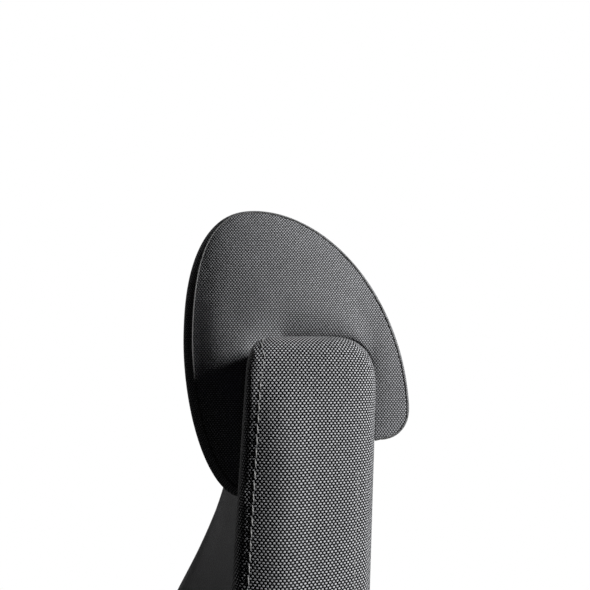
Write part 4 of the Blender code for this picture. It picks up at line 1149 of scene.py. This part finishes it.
    def held(self, along: int, station: Station) -> bool:
        """Sewn round the front panel, and held by the shell and at the bottom.

        Args:
            along: The point's number round the outline.
            station: The section's place and roll.

        Returns:
            Whether the point is held.
        """
        rear = self.rows + self.columns - 1
        behind = station.roll == 0.0 and rear <= along and abs(station.across) < self.glued_half
        return behind or self.sewn(along, station)


@dataclass
class HeadrestCushion(BoxedCushion):
    """The saddle headrest that straddles the back's top edge."""

    half_width: float = 0.144
    top: float = 1.150
    top_y: float = 0.223
    front_reach: float = 0.0750
    front_belly: float = 0.007
    apex: float = -0.025
    dome: float = 0.0965
    rear_reach: float = 0.0855
    rear_belly: float = -0.047
    front_drop: float = 0.106
    rear_drop: float = 0.068
    toe: float = -0.033
    slack: float = 0.0016
    heel_round: float = 0.020
    toe_round: float = 0.010
    edge_depth: float = 0.0110
    slot_stand: float = 0.0060
    tilt: float = 0.45
    tilt_front: float = -0.070
    tilt_rear: float = 0.085
    chin_fullness: float = 1.85
    brow_fullness: float = 2.45
    nape_fullness: float = 1.90
    front_edge: float = 0.0085
    edge_narrowing: float = 0.0057
    edge_narrowing_over: Flat = (0.32, 0.56)
    slot_edge: float = 0.0012
    slot_narrowing: float = 0.0026
    slot_narrowing_over: Flat = (0.62, 0.74)
    slot_shares: tuple[float, ...] = (1.0, 0.72, 0.40, 0.10)
    rear_loss: float = 0.80
    rear_loss_over: Flat = (0.64, 0.90)
    toe_loss: float = 0.5
    toe_loss_over: Flat = (0.0, 0.22)
    slot_gain: float = 0.5
    slot_gain_across: Flat = (0.4, 1.0)
    slot_gain_rise: Flat = (0.2, 0.4)
    slot_gain_fall: Flat = (0.60, 0.80)
    stand_start: float = 0.40
    stand_rise: Flat = (0.34, 0.47)
    stand_fall: Flat = (0.64, 0.78)
    between: int = 23
    back: BackCushion = field(default_factory=BackCushion)

    name = "headrest_upholstery"
    cloth = FINE_CLOTH
    front_cloth = FRONT_CLOTH
    body = "headrest"
    nodes = ("headrest_cushion",)
    rows = 88
    columns = 12
    panel_crown = 0.0125
    skin_swell = 0.0007

    def stations(self) -> list[Station]:
        """Close stations round the edges, then even ones.

        Returns:
            The stations from right to left.
        """
        outer = rolled_edge(self.half_width, self.edge_depth)
        inner = self.half_width - self.edge_depth
        count = self.between
        outer += [Station(inner * (count - i) / count, 0.0) for i in range(count)]
        return both_sides(outer)

    def _outline(self) -> tuple[list[Flat], list[Flat]]:
        """The outer line from the front toe over the dome to the heel, and the slot's line beside it.

        Returns:
            Both lines, from front to rear.
        """
        belly, rear_belly = self.front_belly, self.rear_belly
        reach = (self.front_reach + self.toe, self.front_drop + belly)
        chin = quarter((self.toe, belly), reach, 270, 180, self.chin_fullness, 33)
        reach = (self.front_reach + self.apex, self.dome - belly)
        brow = quarter((self.apex, belly), reach, 180, 90, self.brow_fullness, 33)
        reach = (self.rear_reach - self.apex, self.dome - rear_belly)
        nape = quarter((self.apex, rear_belly), reach, 90, 0, self.nape_fullness, 45)
        heel_y = self.rear_reach - self.heel_round
        heel = quarter((heel_y, rear_belly), (self.heel_round, self.rear_drop + rear_belly), 0, -90, 2.0, 13)
        wall = self.back.hollow(self.half_width) - self.back.thickness / 2 - self.slack
        toe_top = -self.front_drop + self.toe_round
        lean = self.back.lean
        slot = [(wall + lean * toe_top - 0.4 * self.toe_round, -self.front_drop + 0.2 * self.toe_round)]
        slot += [(wall + lean * toe_top * share, toe_top * share) for share in self.slot_shares]
        ceiling, bend = self.slack, self.back.rear_round
        slot += [(wall + 0.008, ceiling), (0.02, ceiling)]
        rear = self.back.hollow(self.half_width) + self.back.thickness / 2 + self.slack
        slot += quarter((rear - bend, ceiling - bend), (bend, bend), 90, 0)
        slot.append((rear, -self.rear_drop + 0.001))
        return chin + brow[1:] + nape[1:] + heel[1:], slot

    def roll_at(self, share: float) -> float:
        """How wide the rolled edge is along the outer line: wide in front and narrow behind."""
        return self.front_edge - self.edge_narrowing * ramp(*self.edge_narrowing_over, share)

    def section(self, station: Station) -> Section:
        """A section of the saddle, its edges drawn in by the station's roll.

        Args:
            station: The section's place and roll.

        Returns:
            The section.
        """
        line, slot = self._outline()
        plain = self._closed(resample(line, self.rows), resample(slot, self.rows))
        if station.roll == 0.0:
            return plain
        loop = plain.loop()
        drawn = []
        for i, (point, way) in enumerate(zip(loop, outward(loop))):
            amount = self._edge_width(i) * station.roll
            drawn.append((point[0] - way[0] * amount, point[1] - way[1] * amount))
        turn = self.rows + self.columns - 1
        return self._closed(drawn[: self.rows], drawn[turn : turn + self.rows][::-1])

    def _closed(self, outer: list[Flat], inner: list[Flat]) -> Section:
        """A section whose outer line and slot are joined straight at the toe and the heel.

        Args:
            outer: The outer line.
            inner: The slot's line.

        Returns:
            The section.
        """
        start = resample([outer[0], inner[0]], self.columns + 1)
        end = resample([outer[-1], inner[-1]], self.columns + 1)
        return Section(outer, inner, start, end)

    def _edge_width(self, i: int) -> float:
        """The rolled edge's width at a point of the loop.

        Args:
            i: The point's number round the outline.

        Returns:
            The width.
        """
        rows, columns = self.rows, self.columns
        if i < rows:
            return self.roll_at(i / (rows - 1))
        share = (2 * rows + columns - 2 - i) / (rows - 1)
        return self.slot_edge - self.slot_narrowing * ramp(*self.slot_narrowing_over, share)

    def lay(self, across: float, point: Flat) -> Vector:
        """Puts a section's point in place on the back's top edge, which is hollow across.

        Args:
            across: The section's place across.
            point: The point in the section's plane.

        Returns:
            The point on the chair.
        """
        shift = self.back.hollow(across) - self.back.hollow(self.half_width)
        across *= 1 + self.tilt * max(self.tilt_front, min(self.tilt_rear, point[0]))
        return Vector((across, self.top_y + point[0] + shift, self.top + point[1]))

    def sew(self, piece: bpy.types.Object) -> None:
        """Runs a welt round both end panels.

        Args:
            piece: The finished headrest.
        """
        cloth = SewnLine(piece)
        seams = []
        for side in Side:
            edge = Station(side.value * self.half_width, 1.0)
            loop = self.section(edge).loop()
            line = loop[2 * self.rows + self.columns - 2 :] + loop[: self.rows + self.columns]
            seams.append(cloth.nearest([self.lay(edge.across, point) for point in line]))
        Welt("headrest_welt", self.body).build(seams, closed=False)

    def give(self, s: float, t: float) -> float:
        """The end panels swell least on the thin rear leg and at the toe, and more beside the slot.

        Args:
            s: The share across the panel.
            t: The share along it.

        Returns:
            How far the panel swells.
        """
        gain = self.slot_gain * ramp(*self.slot_gain_across, s) * ramp(*self.slot_gain_rise, t)
        slot = 1 + gain * (1 - ramp(*self.slot_gain_fall, t))
        toe = 1 - self.toe_loss + self.toe_loss * ramp(*self.toe_loss_over, t)
        return (1 - self.rear_loss * ramp(*self.rear_loss_over, t)) * toe * slot

    def stand(self, s: float, t: float) -> float:
        """The foam holds the end panels out beside the top of the slot."""
        beside = max(0.0, (s - self.stand_start) / (1 - self.stand_start)) ** 2
        return self.slot_stand * beside * ramp(*self.stand_rise, t) * (1 - ramp(*self.stand_fall, t))

    def wraps(self, along: int) -> bool:
        """The end panels' cloth goes on into the slot."""
        return self.rows + self.columns - 1 <= along < 2 * self.rows + self.columns - 1

    def sewn(self, along: int, station: Station) -> bool:
        """A seam runs round both end panels, but for the slot."""
        return station.roll >= 1.0 and not self.wraps(along)

    def held(self, along: int, station: Station) -> bool:
        """Sewn to the end panels, and glued to the board in the slot."""
        return self.sewn(along, station) or (station.roll == 0.0 and self.wraps(along))


@dataclass
class SeatCushion(BoxedCushion):
    """The boxed seat with its rounded front edge."""

    half_width: float = 0.260
    front: float = -0.278
    rear: float = 0.212
    floor: float = 0.4012
    height: float = 0.078
    crown: float = 0.010
    waterfall: float = 0.028
    waterfall_over: Flat = (-0.45, -1.05)
    corner: float = 0.070
    edge_round: float = 0.014
    under_round: float = 0.010
    edge_roll: float = 0.0070
    edge_depth: float = 0.0090
    between: int = 26
    stitch_inset: float = 0.012

    name = "seat_upholstery"
    body = "seat"
    nodes = ("seat_cushion",)
    rows = 84
    columns = 12
    panel_crown = 0.0070
    skin_swell = 0.0060
    upright = False

    def stations(self) -> list[Station]:
        """Close stations round the edges and the corners, then even ones.

        Returns:
            The stations from right to left.
        """
        edge = self.half_width
        outer = rolled_edge(edge, self.edge_depth)
        inner = edge - self.corner
        turns = (61, 54, 46, 38, 30, 23, 15, 8)
        outer += [Station(inner + self.corner * math.sin(math.radians(t)), 0.0) for t in turns]
        count = self.between
        outer += [Station(inner * (count - i) / count, 0.0) for i in range(count)]
        return both_sides(outer)

    def top_at(self, x: float, y: float) -> float:
        """Height of the top skin.

        Args:
            x: The place across.
            y: The place from front to rear.

        Returns:
            The height.
        """
        share_x = x / self.half_width
        share_y = (y - (self.front + self.rear) / 2) / ((self.rear - self.front) / 2)
        crown = self.crown * (1 - share_x**2) * max(0.0, 1 - share_y**2) ** 0.5
        return self.floor + self.height + crown - self.waterfall * ramp(*self.waterfall_over, share_y)

    def section(self, station: Station) -> Section:
        """A section from front to rear, its edges drawn in by the station's roll.

        Args:
            station: The section's place and roll.

        Returns:
            The section.
        """
        x, roll = station.across, station.roll * self.edge_roll
        drop = corner_drop(x, self.half_width, self.corner)
        front, rear = self.front + drop + roll, self.rear - drop - roll
        er, ur = self.edge_round, self.under_round
        floor = self.floor + roll
        count = FACE_STEPS
        places = [front + er + (rear - front - 2 * er) * i / count for i in range(count + 1)]
        skin = [(y, self.top_at(x, y) - roll) for y in places]
        nose = quarter((front + er, skin[0][1] - er), (er, er), 180, 90)
        heel = quarter((rear - er, skin[-1][1] - er), (er, er), 90, 0)
        under_front = quarter((front + ur, floor + ur), (ur, ur), 180, 270)
        under_rear = quarter((rear - ur, floor + ur), (ur, ur), 0, -90)
        under = [(front + ur + (rear - front - 2 * ur) * i / count, floor) for i in range(count + 1)]
        outer = nose[8:] + skin[1:-1] + heel[:9]
        inner = under_front[8:] + under[1:-1] + under_rear[:7:-1]
        start = nose[8::-1] + under_front[:9]
        end = heel[8:] + under_rear[:9]
        return self.sampled(outer, inner, start, end)

    def lay(self, across: float, point: Flat) -> Vector:
        """Puts a section's point in place."""
        return Vector((across, point[0], point[1]))

    def sew(self, piece: bpy.types.Object) -> None:
        """Runs a welt and a topstitch round the top panel.

        Args:
            piece: The finished seat.
        """
        cloth = SewnLine(piece)
        sections = [(station, self.section(station)) for station in self.stations()]
        seam = [self.lay(sections[0][0].across, point) for point in sections[0][1].outer]
        seam += [self.lay(station.across, section.outer[-1]) for station, section in sections[1:]]
        seam += [self.lay(sections[-1][0].across, point) for point in sections[-1][1].outer[-2::-1]]
        seam += [self.lay(station.across, section.outer[0]) for station, section in sections[-2:0:-1]]
        Welt("seat_welt", self.body, radius=0.0014, proud=0.0003).build([cloth.nearest(seam)], closed=True)
        middle = Vector((0.0, (self.front + self.rear) / 2, self.floor + self.height))
        inset = [point + (middle - point).normalized() * self.stitch_inset for point in seam]
        rows = cloth.lay(inset, Vector((0.0, 0.0, -1.0)))
        Topstitch("seat_topstitch", self.body).build([rows + rows[:1]])

    def sewn(self, along: int, station: Station) -> bool:
        """One seam runs round the top panel."""
        return along in (0, self.rows - 1) or (station.roll >= 1.0 and along < self.rows)

    def held(self, along: int, station: Station) -> bool:
        """Sewn round the top panel, and stapled under the board.

        Args:
            along: The point's number round the outline.
            station: The section's place and roll.

        Returns:
            Whether the point is held.
        """
        rows, columns = self.rows, self.columns
        under = rows + columns - 1 <= along < 2 * rows + columns - 1
        return under or self.sewn(along, station)


@dataclass
class ArmPad(SeatCushion):
    """A foam arm pad moulded with a soft skin."""

    side: Side = Side.LEFT
    half_width: float = 0.048
    front: float = -0.130
    rear: float = 0.130
    floor: float = 0.0
    height: float = 0.0265
    crown: float = 0.0030
    waterfall: float = 0.0050
    corner: float = 0.0440
    edge_round: float = 0.0110
    under_round: float = 0.0045
    edge_roll: float = 0.0030
    edge_depth: float = 0.0055
    between: int = 2

    cloth = front_cloth = FOAM_SKIN
    slot = "arm_pad_foam"
    rows = 72
    columns = 8
    panel_crown = 0.0012
    skin_swell = 0.0012

    def __post_init__(self) -> None:
        """Names the pad and finds its place from the solid it stands for."""
        self.name = f"arm_pad_skin_{self.side.word}"
        self.body = f"arm_pad_{self.side.word}"
        self.nodes = (self.body,)
        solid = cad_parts[self.body]
        corners = [solid.matrix_world @ Vector(corner) for corner in solid.bound_box]
        low = [min(corner[n] for corner in corners) for n in range(3)]
        high = [max(corner[n] for corner in corners) for n in range(3)]
        self.place = Vector(((low[0] + high[0]) / 2, (low[1] + high[1]) / 2, low[2]))

    def lay(self, across: float, point: Flat) -> Vector:
        """Puts a section's point in place on the arm."""
        return self.place + Vector((across, point[0], point[1]))

    def sew(self, piece: bpy.types.Object) -> None:
        """A moulded pad has no sewing."""

    def sewn(self, along: int, station: Station) -> bool:
        """A moulded pad has no seam."""
        return False


# Sewing


@dataclass(frozen=True)
class SewnPoint:
    """A point of a sewn line and the way out of the cloth there."""

    spot: Vector
    out: Vector


class SewnLine:
    """A line laid on a cushion's surface."""

    def __init__(self, piece: bpy.types.Object) -> None:
        """Takes the cushion's finished surface.

        Args:
            piece: The cushion.
        """
        graph = bpy.context.evaluated_depsgraph_get()
        self.surface = BVHTree.FromObject(piece, graph)

    def lay(self, points: Sequence[Vector], aim: Vector) -> list[SewnPoint]:
        """Drops points on the surface.

        Args:
            points: Points near the surface.
            aim: The way they drop.

        Returns:
            The points that met the cloth, with its normals.
        """
        laid = []
        for point in points:
            spot, normal, _, _ = self.surface.ray_cast(point - aim * RAY_START, aim)
            if spot is not None:
                laid.append(SewnPoint(spot, normal))
        return laid

    def nearest(self, points: Sequence[Vector]) -> list[SewnPoint]:
        """Moves points to the nearest place on the surface.

        Args:
            points: Points near the surface.

        Returns:
            The points on the cloth, with its normals.
        """
        laid = []
        for point in points:
            spot, normal, _, _ = self.surface.find_nearest(point)
            laid.append(SewnPoint(spot, normal))
        return laid


def spaced(line: Sequence[SewnPoint], step: float) -> list[tuple[SewnPoint, Vector]]:
    """Walks a sewn line in even steps.

    Args:
        line: The line.
        step: The step's length.

    Returns:
        A point and the way along at the middle of each step.
    """
    lengths = running_lengths([point.spot for point in line])
    walked = []
    at = 0
    goal = step / 2
    while goal < lengths[-1]:
        while lengths[at + 1] < goal:
            at += 1
        span = max(lengths[at + 1] - lengths[at], 1e-9)
        share = (goal - lengths[at]) / span
        here, there = line[at], line[at + 1]
        spot = here.spot.lerp(there.spot, share)
        out = here.out.lerp(there.out, share).normalized()
        walked.append((SewnPoint(spot, out), (there.spot - here.spot).normalized()))
        goal += step
    return walked


@dataclass(frozen=True)
class Topstitch:
    """A row of visible stitches."""

    name: str
    body: str
    pitch: float = 0.0054
    length: float = 0.0049
    thickness: float = 0.00085
    proud: float = 0.00010
    slant: float = 7.0
    flatness: float = 0.8

    def build(self, lines: Sequence[Sequence[SewnPoint]]) -> bpy.types.Object:
        """Sews the row along each line.

        Args:
            lines: The sewn lines.

        Returns:
            The finished piece.
        """
        shape = bmesh.new()
        size = Matrix.Diagonal((self.length, self.thickness, self.thickness * self.flatness, 1.0))
        for line in lines:
            for point, along in spaced(line, self.pitch):
                side = point.out.cross(along).normalized()
                up = along.cross(side)
                turn = Matrix((along, side, up)).transposed().to_4x4()
                lean = Matrix.Rotation(math.radians(self.slant), 4, "Z")
                place = Matrix.Translation(point.spot + point.out * self.proud) @ turn @ lean @ size
                bmesh.ops.create_uvsphere(shape, u_segments=6, v_segments=5, radius=0.5, matrix=place)
        return finish_piece(shape, self.name, self.body, THREAD.material())


@dataclass(frozen=True)
class Welt:
    """A thin cord in a cloth sleeve, sewn into a seam."""

    name: str
    body: str
    radius: float = 0.0006
    proud: float = 0.0002
    sides: int = 8

    def build(self, lines: Sequence[Sequence[SewnPoint]], closed: bool) -> bpy.types.Object:
        """Runs the cord along each line.

        Args:
            lines: The seams.
            closed: Whether they join end to end.

        Returns:
            The finished piece.
        """
        shape = bmesh.new()
        maps = shape.loops.layers.uv.new("cloth")
        for line in lines:
            self._cord(shape, maps, line, closed)
        bmesh.ops.remove_doubles(shape, verts=shape.verts[:], dist=0.00001)
        bmesh.ops.holes_fill(shape, edges=[edge for edge in shape.edges if edge.is_boundary], sides=0)
        bmesh.ops.recalc_face_normals(shape, faces=shape.faces[:])
        return finish_piece(shape, self.name, self.body, WELT_CLOTH.material())

    def _cord(self, shape: bmesh.types.BMesh, maps: object, line: Sequence[SewnPoint], closed: bool) -> None:
        """Bends a grid into a tube along one line.

        Args:
            shape: The cord's mesh.
            maps: Its cloth map.
            line: The seam.
            closed: Whether it joins end to end.
        """
        points = list(line) + ([line[0]] if closed else [])
        count = len(points) - 1
        lengths = running_lengths([point.spot for point in points])
        made = bmesh.ops.create_grid(shape, x_segments=self.sides, y_segments=count, size=1.0)
        places = {}
        for vert in made["verts"]:
            i = round((vert.co.x + 1) / 2 * self.sides)
            j = round((vert.co.y + 1) / 2 * count)
            before = points[j - 1] if j > 0 else points[-2] if closed else points[0]
            after = points[j + 1] if j < count else points[1] if closed else points[-1]
            along = (after.spot - before.spot).normalized()
            side = points[j].out.cross(along).normalized()
            up = along.cross(side)
            turn = 2 * math.pi * (i % self.sides) / self.sides
            centre = points[j].spot + points[j].out * self.proud
            vert.co = centre + (side * math.cos(turn) + up * math.sin(turn)) * self.radius
            places[vert] = (2 * math.pi * self.radius * i / self.sides, lengths[j])
        for face in {face for vert in made["verts"] for face in vert.link_faces}:
            for corner in face.loops:
                corner[maps].uv = places[corner.vert]


def smooth_piece(shape: bmesh.types.BMesh, name: str) -> bpy.types.Object:
    """Turns a bmesh into a smooth-shaded object of the scene.

    Args:
        shape: The mesh, freed here.
        name: The object's name.

    Returns:
        The object.
    """
    mesh = bpy.data.meshes.new(name)
    shape.to_mesh(mesh)
    shape.free()
    mesh.polygons.foreach_set("use_smooth", [True] * len(mesh.polygons))
    piece = bpy.data.objects.new(name, mesh)
    bpy.context.scene.collection.objects.link(piece)
    return piece


def finish_piece(
    shape: bmesh.types.BMesh,
    name: str,
    body: str,
    material: bpy.types.Material,
    crisp: float = 180.0,
) -> bpy.types.Object:
    """Turns a bmesh into a piece that rides on a body.

    Args:
        shape: The mesh, freed here.
        name: The piece's name.
        body: The body it rides on.
        material: Its finish.
        crisp: Edges that turn by more than this many degrees stay sharp.

    Returns:
        The finished piece.
    """
    for edge in shape.edges:
        edge.smooth = edge.calc_face_angle(0.0) < math.radians(crisp)
    piece = smooth_piece(shape, name)
    piece.data.materials.append(material)
    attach(piece, body)
    LOG.info("%s: %d faces", name, len(piece.data.polygons))
    return piece


# Studio


@dataclass(frozen=True)
class Lamp:
    """A soft box."""

    name: str
    place: Triple
    target: Triple
    side: float
    watts: float

    def build(self) -> None:
        """Hangs the lamp and turns it to its target."""
        data = bpy.data.lights.new(self.name, "AREA")
        data.shape = "SQUARE"
        data.size = self.side
        data.energy = self.watts
        lamp = bpy.data.objects.new(self.name, data)
        bpy.context.scene.collection.objects.link(lamp)
        lamp.location = self.place
        lamp.rotation_euler = (Vector(self.target) - Vector(self.place)).to_track_quat("-Z", "Y").to_euler()


@dataclass
class Studio:
    """Pale floor, white surround, soft boxes and the camera."""

    floor_radius: float = 2.1
    camera_place: Triple = (0.50503, 0.17979, 1.13546)
    azimuth: float = 82.5
    elevation: float = -7.5
    focal_pixels: float = 520.0
    sensor: float = 36.0
    ambient: float = 0.006
    rim_start: float = 0.9
    rim_width: float = 0.05
    lamps: tuple[Lamp, ...] = (
        Lamp("key", (1.00, 1.53, 1.56), (0.0, 0.20, 1.05), 0.40, 56.0),
        Lamp("fill", (-2.3, -1.7, 1.5), (0.0, 0.0, 0.6), 1.8, 19.0),
        Lamp("top", (-0.75, -0.2, 3.2), (-0.1, 0.0, 0.5), 1.2, 24.0),
    )

    def build(self) -> None:
        """Sets up the studio."""
        scene = bpy.context.scene
        scene.view_settings.view_transform = "Standard"
        self._camera(scene)
        self._surround(scene)
        self._floor()
        for lamp in self.lamps:
            lamp.build()

    def _camera(self, scene: bpy.types.Scene) -> None:
        """Puts the camera where the photograph was taken from.

        Args:
            scene: The scene it looks at.
        """
        data = bpy.data.cameras.new("camera")
        data.sensor_width = self.sensor
        data.lens = self.sensor * self.focal_pixels / IMAGE_SIDE
        data.clip_start = 0.01
        camera = bpy.data.objects.new("camera", data)
        scene.collection.objects.link(camera)
        a, e = math.radians(self.azimuth), math.radians(self.elevation)
        back = Vector((math.sin(a) * math.cos(e), -math.cos(a) * math.cos(e), math.sin(e)))
        camera.location = self.camera_place
        camera.rotation_euler = back.to_track_quat("Z", "Y").to_euler()
        scene.camera = camera

    def _surround(self, scene: bpy.types.Scene) -> None:
        """A surround that is white to the eye and to gloss, and lights the chair softly.

        Args:
            scene: The scene it surrounds.
        """
        world = bpy.data.worlds.new("surround")
        scene.world = world
        world.use_nodes = True
        tree = world.node_tree
        light = tree.nodes["Background"]
        light.inputs["Color"].default_value = (1.0, 1.0, 1.0, 1.0)
        light.inputs["Strength"].default_value = self.ambient
        seen = tree.nodes.new("ShaderNodeBackground")
        seen.inputs["Color"].default_value = (1.0, 1.0, 1.0, 1.0)
        mix = tree.nodes.new("ShaderNodeMixShader")
        tree.links.new(self._seen(tree), mix.inputs[0])
        tree.links.new(light.outputs[0], mix.inputs[1])
        tree.links.new(seen.outputs[0], mix.inputs[2])
        tree.links.new(mix.outputs[0], tree.nodes["World Output"].inputs["Surface"])

    def _seen(self, tree: bpy.types.NodeTree) -> bpy.types.NodeSocket:
        """A switch that is on for whatever is seen straight, in gloss or through glass.

        Args:
            tree: The node tree it is made in.

        Returns:
            The switch.
        """
        rays = tree.nodes.new("ShaderNodeLightPath")
        either = tree.nodes.new("ShaderNodeMath")
        either.operation = "MAXIMUM"
        tree.links.new(rays.outputs["Is Camera Ray"], either.inputs[0])
        tree.links.new(rays.outputs["Is Glossy Ray"], either.inputs[1])
        switch = tree.nodes.new("ShaderNodeMath")
        switch.operation = "MAXIMUM"
        tree.links.new(either.outputs[0], switch.inputs[0])
        tree.links.new(rays.outputs["Is Transmission Ray"], switch.inputs[1])
        return switch.outputs[0]

    def _floor(self) -> None:
        """A round pale floor that throws little light back and fades into the surround at its rim."""
        shape = bmesh.new()
        bmesh.ops.create_circle(shape, cap_ends=True, segments=96, radius=self.floor_radius)
        mesh = bpy.data.meshes.new("floor")
        shape.to_mesh(mesh)
        shape.free()
        floor = bpy.data.objects.new("floor", mesh)
        bpy.context.scene.collection.objects.link(floor)
        board = Board("pale_floor")
        split = board.node("ShaderNodeVectorMath", operation="LENGTH")
        board.join(board.place(), split.inputs[0])
        rim_end = self.floor_radius - self.rim_width
        rim = board.remap(split.outputs["Value"], self.rim_start, rim_end, 0.0, 1.0)
        glow = board.node("ShaderNodeEmission")
        seen = self._seen(board.tree)
        dim = board.node("ShaderNodeBsdfDiffuse")
        dim.inputs["Color"].default_value = (0.10, 0.10, 0.10, 1.0)
        pale = board.node("ShaderNodeMixShader")
        board.join(seen, pale.inputs[0])
        board.join(dim.outputs[0], pale.inputs[1])
        board.join(board.shader.outputs[0], pale.inputs[2])
        mix = board.node("ShaderNodeMixShader")
        board.join(board.math("MULTIPLY", rim, seen), mix.inputs[0])
        board.join(pale.outputs[0], mix.inputs[1])
        board.join(glow.outputs[0], mix.inputs[2])
        board.join(mix.outputs[0], board.tree.nodes["Material Output"].inputs["Surface"])
        board.set(Base_Color=(0.80, 0.80, 0.80, 1.0), Roughness=0.75)
        mesh.materials.append(board.material)


# The chair


class Hardware:
    """Finishes for the pieces that keep their own shape, by the start of their names."""

    groups: dict[Finish, tuple[str, ...]] = {
        PLASTIC: (
            "back_shell",
            "back_carriage",
            "height_clamp_knob",
            "guide_bush",
            "arm_sleeve",
            "arm_pad_plate",
            "seat_pan",
            "seat_slide_lever",
            "height_lever",
            "tilt_lever",
            "tension_knob",
            "lift_guide_bush",
        ),
        POLISHED: ("base_star",),
        PAINT: (
            "mechanism_housing",
            "seat_carrier",
            "seat_rail",
            "back_bar",
            "arm_bracket",
            "gas_lift_tube",
        ),
        CHROME: ("gas_lift_rod", "front_pivot", "rear_pivot", "arm_stem", "arm_button", "headrest_post"),
        CASTOR_PLASTIC: ("castor_frame",),
        TREAD: ("castor_wheel",),
        STEEL: ("castor_axle",),
    }

    def dress(self) -> None:
        """Gives every hard piece its finish."""
        made = {finish: finish.material() for finish in self.groups}
        for name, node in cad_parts.items():
            for finish, stems in self.groups.items():
                if name.startswith(stems):
                    node.data.materials.clear()
                    node.data.materials.append(made[finish])
                    LOG.info("%s: %s", name, finish.name)


@dataclass(frozen=True)
class ScrewRow:
    """Screws in one hard piece, the way they are driven and where."""

    node: str
    body: str
    drive: Triple
    places: tuple[Triple, ...]


@dataclass
class Fasteners:
    """Round-headed screws with hexagon sockets."""

    radius: float = 0.0058
    height: float = 0.0030
    edge: float = 0.0019
    socket: float = 0.0025
    depth: float = 0.0017
    sunk: float = 0.0004
    rim: float = 0.0006
    sides: int = 24
    shell_width: float = 0.128
    shell_depth: float = 0.30
    shell_heights: Flat = (0.655, 0.890)
    pan_width: float = 0.205
    pan_depths: Flat = (-0.205, 0.145)
    pan_height: float = 0.38
    sleeve_width: float = 0.34
    sleeve_depth: float = -0.010
    sleeve_heights: Flat = (0.425, 0.475)
    bracket_widths: Flat = (0.170, 0.225)
    bracket_depths: Flat = (-0.030, 0.010)
    bracket_height: float = 0.37
    plate_widths: Flat = (0.2963, 0.3403)
    plate_depths: Flat = (-0.108, 0.048)
    plate_height: float = 0.61

    def rows(self) -> list[ScrewRow]:
        """The screws of the back shell, the arms and the seat pan.

        Returns:
            A row for each piece.
        """
        widths = (-self.shell_width, self.shell_width)
        shell = tuple((x, self.shell_depth, z) for x in widths for z in self.shell_heights)
        widths = (-self.pan_width, self.pan_width)
        pan = tuple((x, y, self.pan_height) for x in widths for y in self.pan_depths)
        forward, up = (0.0, -1.0, 0.0), (0.0, 0.0, 1.0)
        rows = [ScrewRow("back_shell", "back", forward, shell), ScrewRow("seat_pan", "seat", up, pan)]
        for side in Side:
            s = side.value
            sleeve = tuple((s * self.sleeve_width, self.sleeve_depth, z) for z in self.sleeve_heights)
            bracket = self._four(s, self.bracket_widths, self.bracket_depths, self.bracket_height)
            plate = self._four(s, self.plate_widths, self.plate_depths, self.plate_height)
            rows.append(ScrewRow(f"arm_sleeve_{side.word}", "seat", (-s, 0.0, 0.0), sleeve))
            rows.append(ScrewRow(f"arm_bracket_{side.word}", "seat", up, bracket))
            rows.append(ScrewRow(f"arm_pad_plate_{side.word}", f"arm_upper_{side.word}", up, plate))
        return rows

    def _four(self, s: int, widths: Flat, depths: Flat, height: float) -> tuple[Triple, ...]:
        """Four places on one side, driven upwards from this height."""
        return tuple((s * x, y, height) for x in widths for y in depths)

    def build(self) -> None:
        """Drives every screw down to the surface of its piece."""
        head = self._head()
        graph = bpy.context.evaluated_depsgraph_get()
        for row in self.rows():
            surface = BVHTree.FromObject(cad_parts[row.node], graph)
            drive = Vector(row.drive)
            shape = bmesh.new()
            for place in row.places:
                spot = surface.ray_cast(Vector(place) - drive * SCREW_START, drive)[0]
                turn = (-drive).to_track_quat("Z", "Y").to_matrix().to_4x4()
                count = len(shape.verts)
                shape.from_mesh(head)
                shape.verts.ensure_lookup_table()
                bmesh.ops.transform(shape, matrix=Matrix.Translation(spot) @ turn, verts=shape.verts[count:])
            finish_piece(shape, f"{row.node}_screws", row.body, BLACKED.material(), 40.0)
        bpy.data.meshes.remove(head)

    def _head(self) -> bpy.types.Mesh:
        """One screw head that stands on the origin.

        Returns:
            Its mesh.
        """
        shape = bmesh.new()
        disc = bmesh.ops.create_circle(shape, cap_ends=True, segments=self.sides, radius=self.radius)
        grown = bmesh.ops.extrude_face_region(shape, geom=shape.faces[:])["geom"]
        raised = [part for part in grown if isinstance(part, bmesh.types.BMVert)]
        bmesh.ops.translate(shape, verts=raised, vec=(0.0, 0.0, self.height))
        bmesh.ops.translate(shape, verts=disc["verts"], vec=(0.0, 0.0, -self.sunk))
        rim = [edge for edge in shape.edges if all(vert in raised for vert in edge.verts)]
        bmesh.ops.bevel(
            shape, geom=rim, offset=self.edge, affect="EDGES", segments=4, profile=0.5, material=-1
        )
        top = max(shape.faces, key=lambda face: face.calc_center_median().z)
        bmesh.ops.inset_region(shape, faces=[top], thickness=self.rim, use_even_offset=True)
        for vert in top.verts:
            angle = math.atan2(vert.co.y, vert.co.x)
            away = (angle % (math.pi / 3)) - math.pi / 6
            reach = self.socket * math.cos(math.pi / 6) / math.cos(away)
            vert.co.x, vert.co.y = reach * math.cos(angle), reach * math.sin(angle)
        floor = bmesh.ops.extrude_discrete_faces(shape, faces=[top])["faces"]
        bmesh.ops.translate(shape, verts=floor[0].verts[:], vec=(0.0, 0.0, -self.depth))
        bmesh.ops.recalc_face_normals(shape, faces=shape.faces[:])
        mesh = bpy.data.meshes.new("screw_head")
        shape.to_mesh(mesh)
        shape.free()
        return mesh


def main() -> None:
    """Builds the studio and dresses the chair."""
    logging.basicConfig(level=logging.INFO, format="%(name)s: %(message)s")
    Studio().build()
    Hardware().dress()
    Fasteners().build()
    pads = [ArmPad(side=side) for side in (Side.LEFT, Side.RIGHT)]
    for cushion in (BackCushion(), HeadrestCushion(), SeatCushion(), *pads):
        cushion.sew(cushion.build())


if __name__ == "__main__":
    main()
